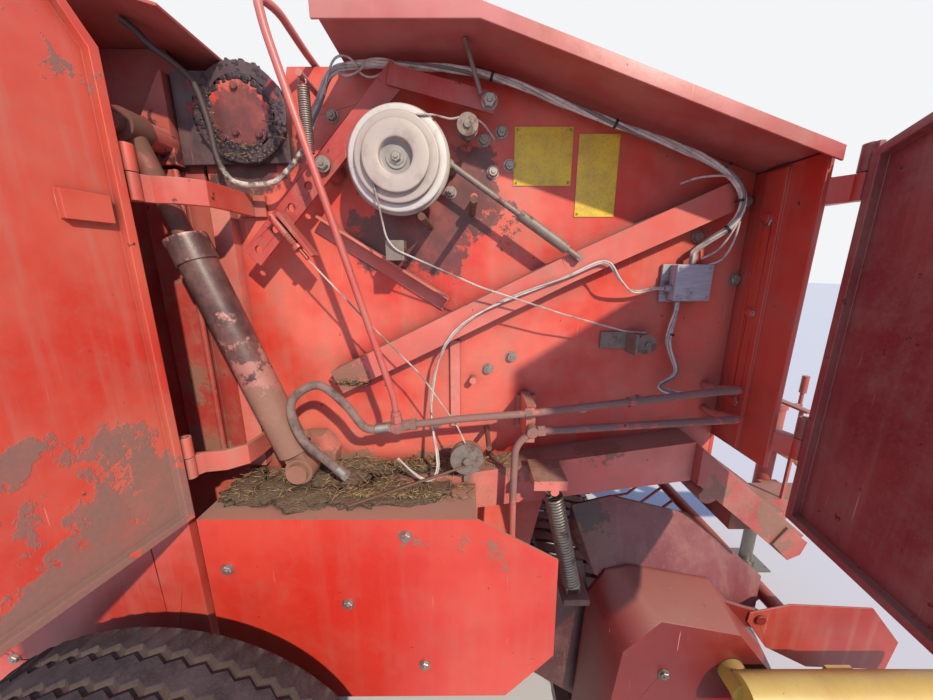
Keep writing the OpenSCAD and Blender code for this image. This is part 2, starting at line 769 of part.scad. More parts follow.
module pto_guard() {
    len = norm(pto_to - pto_from);
    color(yellow) along(pto_from, pto_to) rotate([0, 90, 0]) difference() {
        union() {
            translate([0, 0, 62 + seat_gap]) cylinder(r1 = 66, r2 = 44, h = 90);
            translate([0, 0, 150]) cylinder(r = 40, h = 400);
            translate([0, 0, 548]) cylinder(r = 34, h = len - 700);
            translate([0, 0, len - 154]) cylinder(r1 = 38, r2 = 60, h = 90);
        }
        translate([0, 0, 40]) cylinder(r = 30, h = len);
    }
    // The inner shaft
    color(steel) along(pto_from, pto_to) rotate([0, 90, 0])
        translate([0, 0, 62 + seat_gap]) cylinder(r = 22, h = len - 62 - 10 - 2 * seat_gap);
}

// Tying gear on the right-hand wall
pulley = [468, 1687];
spool = [596, 1752];

module step_pulley() {
    color(cream) difference() {
        union() {
            rod_y(pulley[0], pulley[1], 96, 690, 698);
            rod_y(pulley[0], pulley[1], 86, 697, 704);
            rod_y(pulley[0], pulley[1], 91, 703, 708);
            rod_y(pulley[0], pulley[1], 68, 707, 714);
            rod_y(pulley[0], pulley[1], 77, 713, 718);
            rod_y(pulley[0], pulley[1], 54, 717, 724);
            rod_y(pulley[0], pulley[1], 61, 723, 729);
        }
        rod_y(pulley[0], pulley[1], 30, 722, 730);
        rod_y(pulley[0], pulley[1], 10 + pin_gap, 680, 740);
    }
    color(steel) {
        rod_y(pulley[0], pulley[1], 10, wall_out + seat_gap, 726);
        rod_y(pulley[0], pulley[1], 17, 722 + seat_gap, 731);
        rod_y(pulley[0], pulley[1], 24, wall_out + 8, 680);
    }
}

module tying_lever() {
    color(red) {
        difference() {
            slab(bar_outline([156, 1513], [472, 1846], 44), 664, 672);
            for (t = [0.05, 0.17, 0.29, 0.41])
                rod_y(156 + 316 * t, 1513 + 333 * t, 8, 660, 680);
            rod_y(320, 1686, 12, 660, 680);
        }
        slab(bar_outline([452, 1836], [648, 1788], 34), 671, 679);
        rod_y(320, 1686, 12 - seat_gap, wall_out + seat_gap, 680);
        rod_y(320, 1686, 20, wall_out + seat_gap, 664);
    }
    color(steel) {
        rod_y(636, 1791, 11, 679, 690);
        rod_y(299, 1686, 6, 671, 692);
        // Spring tensioner of the second twine, at the lever's foot
        translate([0, -690, 0]) along([214, 1592], [284, 1504]) rotate([0, 90, 0]) {
            cylinder(r = 8, h = 44);
            translate([0, 0, 43]) rotate_extrude() polygon(concat([[0, 0]],
                [for (i = [0 : 5]) each [[7, i * 5], [9.5, i * 5 + 2.5]]], [[7, 30]], [[0, 30]]));
            translate([0, 0, 72]) cylinder(r = 12, h = 8);
            translate([0, 0, 78]) cylinder(r = 4, h = 26);
        }
    }
    color(red) slab(bar_outline([232, 1596], [292, 1516], 7), 671, 702);
}

module lever_spring() {
    // Coils drawn as rings round one core
    color(steel) {
        translate([299, -686, 1700]) rotate_extrude()
            polygon(concat([[0, 0]], [for (i = [0 : 20]) each [[8, i * 5.4], [11, i * 5.4 + 2.7]]],
                [[8, 113.4]], [[0, 113.4]]));
        translate([299, -686, 1813]) cylinder(r = 3, h = 9 - seat_gap);
        translate([299, -686, 1692 + seat_gap]) cylinder(r = 3, h = 9);
    }
}

// The tilted rod's rim stays below the roof
rod_top = roof_z - sheet_t - seat_gap - 1.3;

module cord_guides() {
    color(steel) {
        // Spool beside the step pulley
        for (flange = [[20, 660, 668], [15, 667, 679], [20, 678, 686]])
            rod_y(spool[0], spool[1], flange[0], flange[1], flange[2]);
        rod_y(spool[0], spool[1], 7, wall_out + seat_gap, 690);
        // Guide block with its feeler
        translate([436, -700, 1508]) cube([36, 34, 38]);
        rod_y(454, 1528, 8, wall_out + seat_gap, 668);
        // Roller in a bracket at the end of the line
        slab([[905, 1312], [905, 1350], [968, 1350], [968, 1312]], wall_out + seat_gap, 616);
        slab([[962, 1306], [962, 1352], [968, 1352], [968, 1306]], 615, 668);
        rod_y(992, 1329, 22, 634, 656);
        rod_y(992, 1329, 6, wall_out + seat_gap, 664);
        // Lower guide wheel
        rod_y(595, 1080, 37, 690, 700);
        rod_y(595, 1080, 30, 699, 706);
        rod_y(595, 1080, 37, 705, 712);
        rod_y(595, 1080, 8, wall_out + 72 + seat_gap, 722);
        slab([[588, 1010], [588, 1088], [602, 1088], [602, 1010]], wall_out + 72 + seat_gap, 690);
    }
    color(red) {
        // Tension rod from the guide to the diagonal beam
        translate([0, -665, 0]) along([562, 1690], [826, 1514]) rotate([0, 90, 0])
            cylinder(r = 6, h = norm([264, -176]));
        translate([0, -665, 0]) along([700, 1598], [800, 1531]) rotate([0, 90, 0])
            cylinder(r = 11, h = 120);
        rod_y(562, 1690, 8, wall_out + seat_gap, 670);
        rod_y(826, 1514, 7, beam_out + seat_gap, 670);
    }
    // Rod that hangs from the roof to the lever's end bolt
    color(steel) translate([0, -696, 0]) along([591, rod_top], [620, 1796])
        rotate([0, 90, 0]) cylinder(r = 4, h = norm([29, rod_top - 1796]));
}

module tying_cord() {
    color(cream) {
        // From the step pulley over the spool to its peg
        tube(bent([[470, -710.5, 1757.6], [532, -710.5, 1758], [566, -673, 1764],
            [spool[0], -673, spool[1] + 20],
            [624, -671, 1760], [650, -640, 1742], [650, -622, 1740]], 10, 3), 2, 6);
        // From the step pulley past the guide block to the roller
        tube(bent([[423, -720.8, 1652], [431, -721, 1612], [440, -708, 1550], [456, -704, 1528],
            [621, -690, 1456], [800, -676, 1398], [940, -656, 1359], [992, -645, 1353.6]],
            10, 3), 2, 6);
        // From the lever's tensioner down to the lower guide wheel
        tube(bent([[280, -690, 1508], [392, -697, 1384], [498, -702, 1273], [574, -702.5, 1156],
            [592, -702.5, 1112.6]], 10, 3), 2, 6);
    }
}

module junction_box() {
    color(steel) translate([1028, -(wall_out + 40), 1420]) cube([92, 40 - seat_gap, 82]);
}

// Bundles of wire along the roof and down to the beam
module wiring() {
    color(steel) {
        tube(through([[270, -640, 1725], [312, -650, roof_z - 86], [352, -650, roof_z - 28],
            [480, -650, roof_z - 24], [640, -650, roof_z - 40], [860, -650, roof_z - 114],
            [1050, -654, roof_z - 178], [1132, -666, roof_z - 236], [1138, -666, 1590],
            [1100, -646, 1548], [1082, -632, 1528], [1082, -632, 1515],
            [1082, -632, 1502.3]], 4), 7, 8);
        tube(through([[1060, -632, 1419.7], [1060, -632, 1410], [1060, -632, 1398],
            [1050, -636, 1330], [1076, -640, 1262], [1040, -642, 1225], [1100, -660, 1212]], 4),
            6, 8);
        tube(through([[1027.7, -630, 1450], [1019, -630, 1450], [1008, -630, 1450],
            [960, -634, 1443], [916, -660, 1470], [880, -664, 1506], [800, -664, 1474],
            [640, -664, 1410], [548, -662, 1330], [510, -640, 1180], [530, -700, 1060],
            [500, -705, 1025], [440, -705, 1080]], 4), 4, 6);
    }
}

over_wall = roof_under(0) + 7 + seat_gap;

module hydraulic_pipes() {
    color(dark_red) {
        tube(bent([[441, -716, 1162], [580, -716, 1180], [726, -712, 1190], [1118, -725, 1245],
            [1165, -725, 1247], [1165, -642, 1222], [1165, -wall_out - seat_gap, 1222]], 22),
            8, 10);
        tube(bent([[735, -716, 1150], [1100, -728, 1180], [1172, -728, 1184],
            [1172, -642, 1162], [1172, -wall_out - seat_gap, 1162]], 22), 8, 10);
        tube(bent([[738, -716, 1152], [700, -718, 1120], [698, -720, 1000], [697, -730, 830]],
            24), 8, 10);
        // Crossover pipe from the tee up over the roof's edge
        tube(bent([[447, -722, 1166], [443, -724, 1230], [274, -752, roof_z - 24],
            [266, -752, roof_z + 22], [280, -712, roof_z + 24], [290, -640, over_wall],
            [290, 650, over_wall], [290, 738, roof_z - 66], [300, 738, 1240],
            [300, 738, 1110]], 16), 7, 10);
        rod_y(447, 1164, 13, 703, 730);
        rod_y(735, 1152, 12, 704, 727);
    }
}

module hydraulic_hose() {
    color(rubber) tube(through([[433.6, -716, 1162], [380, -720, 1160], [340, -722, 1215],
        [285, -722, 1258], [232, -732, 1222], [250, -742, 1150], [300, -742, 1095],
        [330, -735, 1060]], 6), 9, 10);
}

// Pickup, hinged on the walls' foot
pickup_pin = [pickup_pivot_x, pickup_pivot_z];
reel = [reel_x, reel_z];
end_in = 650;
end_out = 658;
gauge = [1450, 330];
gauge_y = 885;
arm_y = 830;

module pickup_ends() {
    color(red) both_sides() difference() {
        union() {
            slab([[612, 440], [612, 520], [790, 560], [805, 760], [893, 760], [930, 600],
                [1130, 480], [1265, 400], [1290, 290], [1220, 165], [1060, 150], [900, 300],
                [760, 400]], end_in, end_out);
            rod_y(pickup_pin[0], pickup_pin[1], 40, end_in - 2, end_out + 8);
            rod_y(reel[0], reel[1], 36, end_in - 8, end_out + 14);
            // Lug for the spring
            slab([[815, 742], [815, 758], [875, 758], [875, 742]], end_out - 1, 765);
        }
        rod_y(pickup_pin[0], pickup_pin[1], 22 + pin_gap, 600, 680);
        rod_y(reel[0], reel[1], 15 + pin_gap, 600, 700);
    }
}

module pickup_tubes() {
    color(red) {
        for (p = [[862, 425], [862, 200]])
            translate([p[0], -end_in + seat_gap, p[1]])
                cube([40, 2 * (end_in - seat_gap), 40]);
        translate([862, -30, 240]) cube([40, 60, 185]);
    }
}

module pickup_bands() {
    outline_r = band_r;
    color(red) for (i = [0 : band_count - 1])
        translate([0, (i - (band_count - 1) / 2) * band_pitch + band_w / 2, 0])
            rotate([90, 0, 0]) linear_extrude(band_w) {
                difference() {
                    translate(reel) circle(r = outline_r);
                    translate(reel) circle(r = outline_r - 4);
                    translate([reel_x - 200, reel_z - 200]) square([200, 400]);
                }
                polygon([[reel_x + 1, reel_z + outline_r], [reel_x + 1, reel_z + outline_r - 4],
                    [904, 465 + seat_gap], [862, 465 + seat_gap], [862, 470], [907, 470]]);
                polygon([[reel_x + 1, reel_z - outline_r], [reel_x + 1, reel_z - outline_r + 4],
                    [902, 200 - seat_gap], [862, 200 - seat_gap], [862, 194], [902, 194]]);
            }
}

module pickup_reel() {
    color(steel) {
        rod_y(reel[0], reel[1], 26, -end_in + 12, end_in - 12);
        rod_y(reel[0], reel[1], 15, -end_out - 16, end_out + 16);
        for (y = [-626, -210, 210, 619]) rod_y(reel[0], reel[1], 100, y, y + 7);
        for (a = [0 : 72 : 359]) {
            translate([reel[0] + 88 * cos(a), 0, reel[1] + 88 * sin(a)]) rotate([90, 0, 0])
                cylinder(r = 9, h = 1256, center = true);
            for (i = [0 : band_count - 2])
                translate([reel[0], (i - (band_count - 2) / 2) * band_pitch, reel[1]])
                    rotate([0, -a, 0]) translate([86, 0, 0]) rotate([0, 90, 0])
                        cylinder(r = 3, h = tine_r - 86, $fn = 6);
        }
    }
}

// Side covers of the pickup's drive, with their sloping shoulders
module drive_cover() {
    hull() {
        slab([[890, 300], [905, 690], [941, 752], [1002, 767], [1208, 725], [1352, 560],
            [1300, 300]], end_out + 16, end_out + 24);
        slab([[930, 330], [958, 624], [1037, 712], [1224, 672], [1338, 529], [1300, 330]],
            770, 778);
    }
}

guard_pin = [1330, 636];
guard_tube = [1440, 592];

module pickup_covers() {
    color(red) both_sides() {
        difference() {
            drive_cover();
            rod_y(reel[0], reel[1], 40, 600, 676);
        }
        for (p = [[1000, 500], [1180, 420]])
            rod_y(p[0], p[1], 12, end_out + seat_gap, end_out + 17);
        // Ear that the crop guard hinges on
        slab([[1220, 690], [1290, 600], [1338, 618], [1346, 640], [1330, 654], [1300, 662]],
            696, 706 - seat_gap);
    }
    color(steel) both_sides() {
        rod_y(1060, 560, 9, 778, 786);
        rod_y(guard_pin[0], guard_pin[1], 9, 700, 716);
        rod_y(guard_pin[0], guard_pin[1], 13, 710 + seat_gap, 716);
    }
}

// Guards over the pickup's ends, from the chamber's wall out to the drive covers' ridges
module pickup_hoods() {
    color(dark_red) both_sides() hull() {
        slab([[868, 800], [868, 890], [972, 917], [1178, 863], [1410, 664], [1395, 640],
            [1000, 700]], 606, 612);
        slab([[920, 735], [941, 752], [1002, 767], [1208, 725], [1352, 560], [1340, 550],
            [980, 690]], end_out + 10, end_out + 16 - seat_gap);
    }
}

// Guard that holds the crop down in front of the reel, hinged on the drive covers
module crop_guard() {
    color(red) both_sides() difference() {
        slab([[1300, 628], [1302, 655], [1400, 680], [1608, 668], [1700, 560], [1690, 470],
            [1480, 480], [1362, 545]], 706, 710);
        rod_y(guard_pin[0], guard_pin[1], 9 + pin_gap, 700, 720);
    }
    color(red) translate([guard_tube[0], 0, guard_tube[1]]) rotate([90, 0, 0])
        cylinder(r = 20, h = 1414, center = true);
    color(steel) for (i = [-7 : 7]) translate([0, i * 85, 0]) {
        slab(bar_outline([1445, 585], [1330, 480], 8), -4, 4);
        slab(bar_outline([1334, 484], [1190, 455], 8), -4, 4);
    }
}

module gauge_arms() {
    color(yellow) both_sides() {
        translate([1200, -arm_y, 575]) rotate([0, 90, 0]) cylinder(r = 42, h = 520);
        slab([[1400, 320], [1420, 600], [1480, 600], [1500, 320], [1450, 285]], 788, 798);
        rod_y(gauge[0], gauge[1], 15, 790, gauge_y + 52);
        rod_y(1215, 575, 30, 778 + seat_gap, arm_y);
    }
}

module gauge_wheel() {
    color(rubber) difference() {
        rod_y(gauge[0], gauge[1], gauge_d / 2, gauge_y - gauge_w / 2, gauge_y + gauge_w / 2);
        rod_y(gauge[0], gauge[1], gauge_d / 2 - 62, 700, gauge_y - 40);
        rod_y(gauge[0], gauge[1], gauge_d / 2 - 62, gauge_y + 40, 960);
        rod_y(gauge[0], gauge[1], 36, 700, 960);
    }
    color(yellow) difference() {
        rod_y(gauge[0], gauge[1], 36 - seat_gap, gauge_y - 44, gauge_y + 44);
        rod_y(gauge[0], gauge[1], 15 + pin_gap, 700, 960);
    }
}

module gauge_wheel_right() {
    gauge_wheel();
}

module gauge_wheel_left() {
    mirror([0, 1, 0]) gauge_wheel();
}

module pickup_springs() {
    top = [779, 1036];
    foot = [845, 752];
    color(steel) both_sides() translate([0, -748, 0]) {
        translate([top[0], 0, top[1] - 10]) rotate([0, 180 + atan2(foot[0] - top[0],
            top[1] - foot[1]) * -1, 0]) {
            translate([0, 0, 8]) rotate_extrude()
                polygon(concat([[0, 0]],
                    [for (i = [0 : 29]) each [[15, i * 8.2], [21, i * 8.2 + 4.1]]],
                    [[15, 246]], [[0, 246]]));
            translate([0, 0, 0.5]) cylinder(r = 5, h = 12);
            translate([0, 0, 252]) cylinder(r = 5, h = 21.4);
        }
    }
}

tyre_r = tyre_d / 2;
rim_r = rim_d / 2;
section_h = tyre_r - rim_r;
// Sidewall from the bead out: share of the section's height, and distance from the middle
tyre_side = [for (s = [[-0.036, 0.345], [0.054, 0.407], [0.27, 0.476], [0.54, 0.5], [0.764, 0.483],
    [0.9, 0.441], [0.986, 0.386]]) [rim_r + s[0] * section_h, s[1] * tyre_w]];

module tyre() {
    color(rubber) rotate([90, 0, 0]) rotate_extrude()
        polygon(concat(tyre_side,
            [[tyre_r, 100], [tyre_r, 78], [tyre_r - 10, 74], [tyre_r - 10, 64], [tyre_r, 60],
            [tyre_r, 26], [tyre_r - 10, 22], [tyre_r - 10, 12], [tyre_r, 8]],
            [[tyre_r, -8], [tyre_r - 10, -12], [tyre_r - 10, -22], [tyre_r, -26],
            [tyre_r, -60], [tyre_r - 10, -64], [tyre_r - 10, -74], [tyre_r, -78],
            [tyre_r, -100]],
            [for (i = [len(tyre_side) - 1 : -1 : 0]) [tyre_side[i][0], -tyre_side[i][1]]]));
}

module rim() {
    color(yellow) difference() {
        rotate([90, 0, 0]) rotate_extrude() polygon([
            [stub_r + pin_gap, -60], [72, -60], [72, 20], [rim_r - 50, 40], [rim_r - 40, 50],
            [rim_r - 18, 60], [rim_r - 18, 112], [rim_r + 8, 122], [rim_r + 8, 119],
            [rim_r - 9, 100 - seat_gap], [rim_r - 8 - seat_gap, 99],
            [rim_r - 8 - seat_gap, -99], [rim_r - 9, seat_gap - 100], [rim_r + 8, -119],
            [rim_r + 8, -122], [rim_r - 18, -112], [rim_r - 18, 46], [rim_r - 40, 38],
            [rim_r - 52, 28], [85, 8], [85, -66], [stub_r + pin_gap, -66]]);
        for (a = [30 : 60 : 359]) rotate([0, a, 0]) translate([118, 0, 0]) rotate([90, 0, 0])
            cylinder(r = 14, h = 100, center = true);
    }
    color(steel) for (a = [0 : 60 : 359]) rotate([0, a, 0]) translate([62, 0, 0])
        rotate([90, 0, 0]) translate([0, 0, -78]) cylinder(r = 9, h = 14);
}

module on_axle(side) {
    translate([0, side * wheel_y, axle_z]) mirror([0, side > 0 ? 1 : 0, 0]) children();
}

module tyre_right() {
    on_axle(-1) tyre();
}

module tyre_left() {
    on_axle(1) tyre();
}

module rim_right() {
    on_axle(-1) rim();
}

module rim_left() {
    on_axle(1) rim();
}

at_eye() side_wall_right();
at_eye() side_wall_left();
at_eye() wall_beams_right();
at_eye() wall_beams_left();
at_eye() roof();
at_eye() front_panel();
at_eye() twine_box();
at_eye() lower_covers();
at_eye() axle();
at_eye() press_rollers_front();
at_eye() feed_floor();
at_eye() door_straps();
at_eye() gearbox();
at_eye() drawbar_arms();
at_eye() drawbar_tongue();
at_eye() jack_tube();
at_eye() jack_leg();
at_eye() pto_guard();
at_eye() pto_joints();
at_eye() step_pulley();
at_eye() tying_lever();
at_eye() cord_guides();
at_eye() tying_cord();
at_eye() lever_spring();
at_eye() junction_box();
at_eye() wiring();
at_eye() hydraulic_pipes();
at_eye() hydraulic_hose();
at_eye() tailgate_sides();
at_eye() tailgate_skin();
at_eye() tailgate_covers();
at_eye() hinge_plates();
at_eye() press_rollers_rear();
at_eye() tail_lamps();
at_eye() ram_barrel_right();
at_eye() ram_rod_right();
at_eye() ram_barrel_left();
at_eye() ram_rod_left();
at_eye() door_rear_right();
at_eye() door_front_right();
at_eye() door_rear_left();
at_eye() door_front_left();
at_eye() pickup_ends();
at_eye() pickup_tubes();
at_eye() pickup_bands();
at_eye() pickup_covers();
at_eye() pickup_hoods();
at_eye() crop_guard();
at_eye() gauge_arms();
at_eye() pickup_reel();
at_eye() pickup_springs();
at_eye() gauge_wheel_right();
at_eye() gauge_wheel_left();
at_eye() tyre_right();
at_eye() rim_right();
at_eye() tyre_left();
at_eye() rim_left();
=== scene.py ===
import math
import random

import bmesh
import bpy
from mathutils import Matrix, Vector, noise


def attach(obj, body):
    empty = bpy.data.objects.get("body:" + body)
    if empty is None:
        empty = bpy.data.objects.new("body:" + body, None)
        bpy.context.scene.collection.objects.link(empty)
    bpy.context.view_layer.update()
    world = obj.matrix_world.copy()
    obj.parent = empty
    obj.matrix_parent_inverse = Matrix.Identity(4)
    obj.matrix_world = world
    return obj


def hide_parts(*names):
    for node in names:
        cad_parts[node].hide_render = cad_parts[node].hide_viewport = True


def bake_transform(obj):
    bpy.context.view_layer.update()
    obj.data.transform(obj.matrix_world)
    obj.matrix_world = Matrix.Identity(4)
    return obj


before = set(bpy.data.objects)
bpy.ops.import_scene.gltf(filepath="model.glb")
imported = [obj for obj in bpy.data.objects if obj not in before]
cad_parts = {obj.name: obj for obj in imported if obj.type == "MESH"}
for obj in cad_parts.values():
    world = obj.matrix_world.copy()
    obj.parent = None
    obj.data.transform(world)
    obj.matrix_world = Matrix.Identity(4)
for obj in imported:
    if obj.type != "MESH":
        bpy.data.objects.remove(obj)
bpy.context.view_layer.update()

# Camera, floor and light. The baler is seen from its right, close in and through a very wide lens.
# The light is a crisp, warm sun from the front right, over the camera, and a blue sky that only fills.
# The camera, mirrors and glass see a pale backdrop instead of that sky.
AXLE_FROM_EYE = Vector((-2.650, 0, -0.450))


def place(x, y, z):
    """A point given in millimetres from the axle's middle at ground level, in the row frame."""
    return Vector((x, y, z)) / 1000 + AXLE_FROM_EYE


def colour(code):
    """An sRGB hex value as the linear colour that the shaders take."""
    shares = [int(code[i:i + 2], 16) / 255 for i in (1, 3, 5)]
    return [s / 12.92 if s <= 0.04045 else ((s + 0.055) / 1.055) ** 2.4 for s in shares] + [1.0]


def feed(tree, made, inputs):
    """Gives a node its inputs. Each is a value, or a node or a socket that is linked to it."""
    for key, value in inputs.items():
        if isinstance(value, bpy.types.Node):
            value = value.outputs[0]
        if isinstance(value, bpy.types.NodeSocket):
            tree.links.new(value, made.inputs[key])
        else:
            made.inputs[key].default_value = value


def node(tree, kind, inputs=None, **settings):
    """Adds a node with its settings and links."""
    made = tree.nodes.new("ShaderNode" + kind)
    for key, value in settings.items():
        setattr(made, key, value)
    feed(tree, made, inputs or {})
    return made


def new_finish(name):
    """A material for a finish, with its node tree and the place on the machine in metres."""
    made = bpy.data.materials.new(name)
    made.use_nodes = True
    return made, made.node_tree, node(made.node_tree, "TexCoord").outputs["Object"]


def surface(tree, paint, roughness, bumps=None, **others):
    """Sets how a finish looks. Bumps are their strength, depth in millimetres and height."""
    shown = {"Base Color": paint, "Roughness": roughness}
    if bumps:
        strength, depth, height = bumps
        shown["Normal"] = node(tree, "Bump", {"Strength": strength, "Distance": depth / 1000,
                                              "Height": height})
    shown.update({key.replace("_", " "): value for key, value in others.items()})
    feed(tree, tree.nodes["Principled BSDF"], shown)


CAMERA_TILT = 13.1
view = bpy.data.cameras.new("view")
view.lens, view.sensor_width = 13.31, 36.0
camera = bpy.data.objects.new("camera", view)
camera.location = place(594, -1400, 1490)
camera.rotation_euler = (math.radians(90 - CAMERA_TILT), 0, 0)
bpy.context.scene.collection.objects.link(camera)
bpy.context.scene.camera = camera
view.clip_start = 0.05

sun = bpy.data.objects.new("sun", bpy.data.lights.new("sun", "SUN"))
sun.data.energy = 3.8
sun.data.angle = math.radians(1.4)
sun.data.color = (1.0, 0.88, 0.72)
TO_THE_SUN = Vector((0.40, -0.70, 0.55))
sun.rotation_euler = TO_THE_SUN.to_track_quat("Z", "Y").to_euler()
bpy.context.scene.collection.objects.link(sun)

sky = bpy.data.worlds.new("sky")
bpy.context.scene.world = sky
sky.use_nodes = True
air = sky.node_tree
air.nodes.clear()
rays = node(air, "LightPath")
seen = node(air, "Math", {0: rays.outputs["Is Camera Ray"], 1: rays.outputs["Is Glossy Ray"]},
            operation="MAXIMUM")
seen = node(air, "Math", {0: seen, 1: rays.outputs["Is Transmission Ray"]}, operation="MAXIMUM")
lit = node(air, "Background", {"Color": colour("#9dbfff"), "Strength": 0.7})
shown = node(air, "Background", {"Color": colour("#f4f5f7"), "Strength": 1.0})
either = node(air, "MixShader", {0: seen, 1: lit.outputs[0], 2: shown.outputs[0]})
node(air, "OutputWorld", {"Surface": either})
bpy.context.scene.view_settings.view_transform = "Standard"


def mesh_piece(name, shape):
    """Makes an object from a bmesh, with its faces pointing outwards."""
    bmesh.ops.recalc_face_normals(shape, faces=shape.faces)
    mesh = bpy.data.meshes.new(name)
    shape.to_mesh(mesh)
    shape.free()
    piece = bpy.data.objects.new(name, mesh)
    bpy.context.scene.collection.objects.link(piece)
    return piece


def finish_with(piece, material):
    """Gives a piece its material, shaded smooth."""
    piece.data.materials.clear()
    piece.data.materials.append(material)
    piece.data.shade_smooth()
    return piece


ground = bmesh.new()
bmesh.ops.create_grid(ground, x_segments=1, y_segments=1, size=40)
bmesh.ops.translate(ground, verts=ground.verts, vec=place(600, 0, 0))
floor = mesh_piece("floor", ground)

# Matt and nearly white, so that the machine's shadow shows and nothing is mirrored
plain, t, spot = new_finish("matt pale floor")
surface(t, colour("#d9d9d6"), 0.95)
finish_with(floor, plain)


# Cords: polypropylene tying twine and the bundles of electric wire.
# The twine has three strands laid together. The wires are loose in their bundles, tied here and there.
# Each follows the route of its solid.
def through(points, steps):
    """A smooth line through the points, with so many steps between two of them."""
    p = [Vector(q) for q in points]
    line = []
    for i in range(len(p) - 1):
        a, b, c, d = p[max(i - 1, 0)], p[i], p[i + 1], p[min(i + 2, len(p) - 1)]
        for k in range(steps):
            t = k / steps
            line.append((b * 2 + (c - a) * t + (a * 2 - b * 5 + c * 4 - d) * t * t
                         + (b * 3 - a - c * 3 + d) * t ** 3) / 2)
    return line + [p[-1]]


def bent(points, bend, steps=6):
    """A line whose corners are rounded, each over the length bend."""
    p = [Vector(q) for q in points]
    line = [p[0]]
    for i in range(1, len(p) - 1):
        a = p[i] + (p[i - 1] - p[i]).normalized() * bend
        b = p[i] + (p[i + 1] - p[i]).normalized() * bend
        line += [a.lerp(p[i], k / steps).lerp(p[i].lerp(b, k / steps), k / steps)
                 for k in range(steps + 1)]
    return line + [p[-1]]


def evenly(line, step):
    """The same line with its points a step apart."""
    lengths = [0.0]
    for a, b in zip(line, line[1:]):
        lengths.append(lengths[-1] + (b - a).length)
    count = max(2, round(lengths[-1] / step))
    made, i = [], 0
    for k in range(count + 1):
        s = lengths[-1] * k / count
        while i < len(line) - 2 and lengths[i + 1] < s:
            i += 1
        span = max(lengths[i + 1] - lengths[i], 1e-9)
        made.append(line[i].lerp(line[i + 1], (s - lengths[i]) / span))
    return made


def laid(line, count, lay, pitch, wander=0.0, seed=1):
    """Lines that wind round the given one at the distance lay, one turn in each pitch."""
    rng = random.Random(seed)
    made = [[] for _ in range(count)]
    phase = [rng.uniform(0, 6.28) for _ in range(count)]
    side, travelled = Vector((0.57, 0.6, -0.57)), 0.0
    for i, point in enumerate(line):
        ahead = (line[min(i + 1, len(line) - 1)] - line[max(i - 1, 0)]).normalized()
        side = (side - ahead * side.dot(ahead)).normalized()
        other = ahead.cross(side)
        travelled += (point - line[max(i - 1, 0)]).length
        for k in range(count):
            a = 2 * math.pi * (travelled / pitch + k / count)
            r = lay * (1 + wander * math.sin(travelled / pitch * 9 + phase[k]))
            made[k].append(point + side * (r * math.cos(a)) + other * (r * math.sin(a)))
    return made


def swept(name, lines, radius, level=2):
    """Round bars that follow the lines, as one mesh."""
    curve = bpy.data.curves.new(name, "CURVE")
    curve.dimensions, curve.bevel_depth, curve.bevel_resolution = "3D", radius, level
    curve.use_fill_caps = True
    for line in lines:
        spline = curve.splines.new("POLY")
        spline.points.add(len(line) - 1)
        for point, where in zip(spline.points, line):
            point.co = (*where, 1)
    holder = bpy.data.objects.new(name, curve)
    bpy.context.scene.collection.objects.link(holder)
    mesh = bpy.data.meshes.new_from_object(holder)
    bpy.data.objects.remove(holder)
    mesh.name = name
    piece = bpy.data.objects.new(name, mesh)
    bpy.context.scene.collection.objects.link(piece)
    return piece


def blotches(tree, spot, width, low, high, most=1.0, detail=6, rough=0.7, soft=True,
             turn=(0, 0, 0)):
    """A mask of patches. It is 0 where the noise is under low, and most where it is over high.

    The patches are about so many millimetres wide, or as wide as three numbers say along x, y and z.
    """
    if isinstance(width, tuple):
        spot = node(tree, "Mapping", {0: spot, 2: turn, 3: [1000 / w for w in width]})
        width = 1000
    cloud = node(tree, "TexNoise", {"Vector": spot, "Scale": 1000 / width, "Detail": detail,
                                    "Roughness": rough})
    return node(tree, "MapRange", {0: cloud, 1: low, 2: high, 4: most},
                interpolation_type="SMOOTHSTEP" if soft else "LINEAR")


# Polypropylene twine: pale, slightly glossy flat filaments, greyed with dust
twine, t, spot = new_finish("polypropylene twine")
# Real filaments are finer, and these are drawn as coarse as they show
FILAMENT = 1.1111
fuzz = node(t, "TexNoise", {"Vector": spot, "Scale": 1000 / FILAMENT, "Detail": 3})
thread = node(t, "MixRGB", {0: fuzz, 1: colour("#b9aca0"), 2: colour("#e9e2d8")})
thread = node(t, "MixRGB", {0: blotches(t, spot, 45.455, 0.42, 0.7, detail=5, rough=0.5), 1: thread,
                            2: colour("#8d7b6d")})
surface(t, thread, 0.6)

twine_routes = [
    ("over_spool", [[470, -710.5, 1757.6], [532, -710.5, 1758], [566, -673, 1764],
                    [596, -673, 1772], [624, -671, 1760], [650, -640, 1742], [650, -622, 1740]]),
    ("to_roller", [[423, -720.8, 1652], [431, -721, 1612], [440, -708, 1550],
                   [456, -704, 1528], [621, -690, 1456], [800, -676, 1398],
                   [940, -656, 1359], [992, -645, 1353.6]]),
    ("to_guide_wheel", [[280, -690, 1508], [392, -697, 1384], [498, -702, 1273],
                        [574, -702.5, 1156], [592, -702.5, 1112.6]])]
YARN = 1.0
TWINE_PITCH = 16
for i, (name, route) in enumerate(twine_routes):
    line = evenly([place(*p) for p in bent(route, 10, 3)], 0.0025)
    strand = swept("twine_" + name, laid(line, 3, YARN / 1000, TWINE_PITCH / 1000), YARN / 1000,
                   1)
    finish_with(strand, twine)
    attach(strand, "frame")
    if i == 0:
        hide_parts("tying_cord")

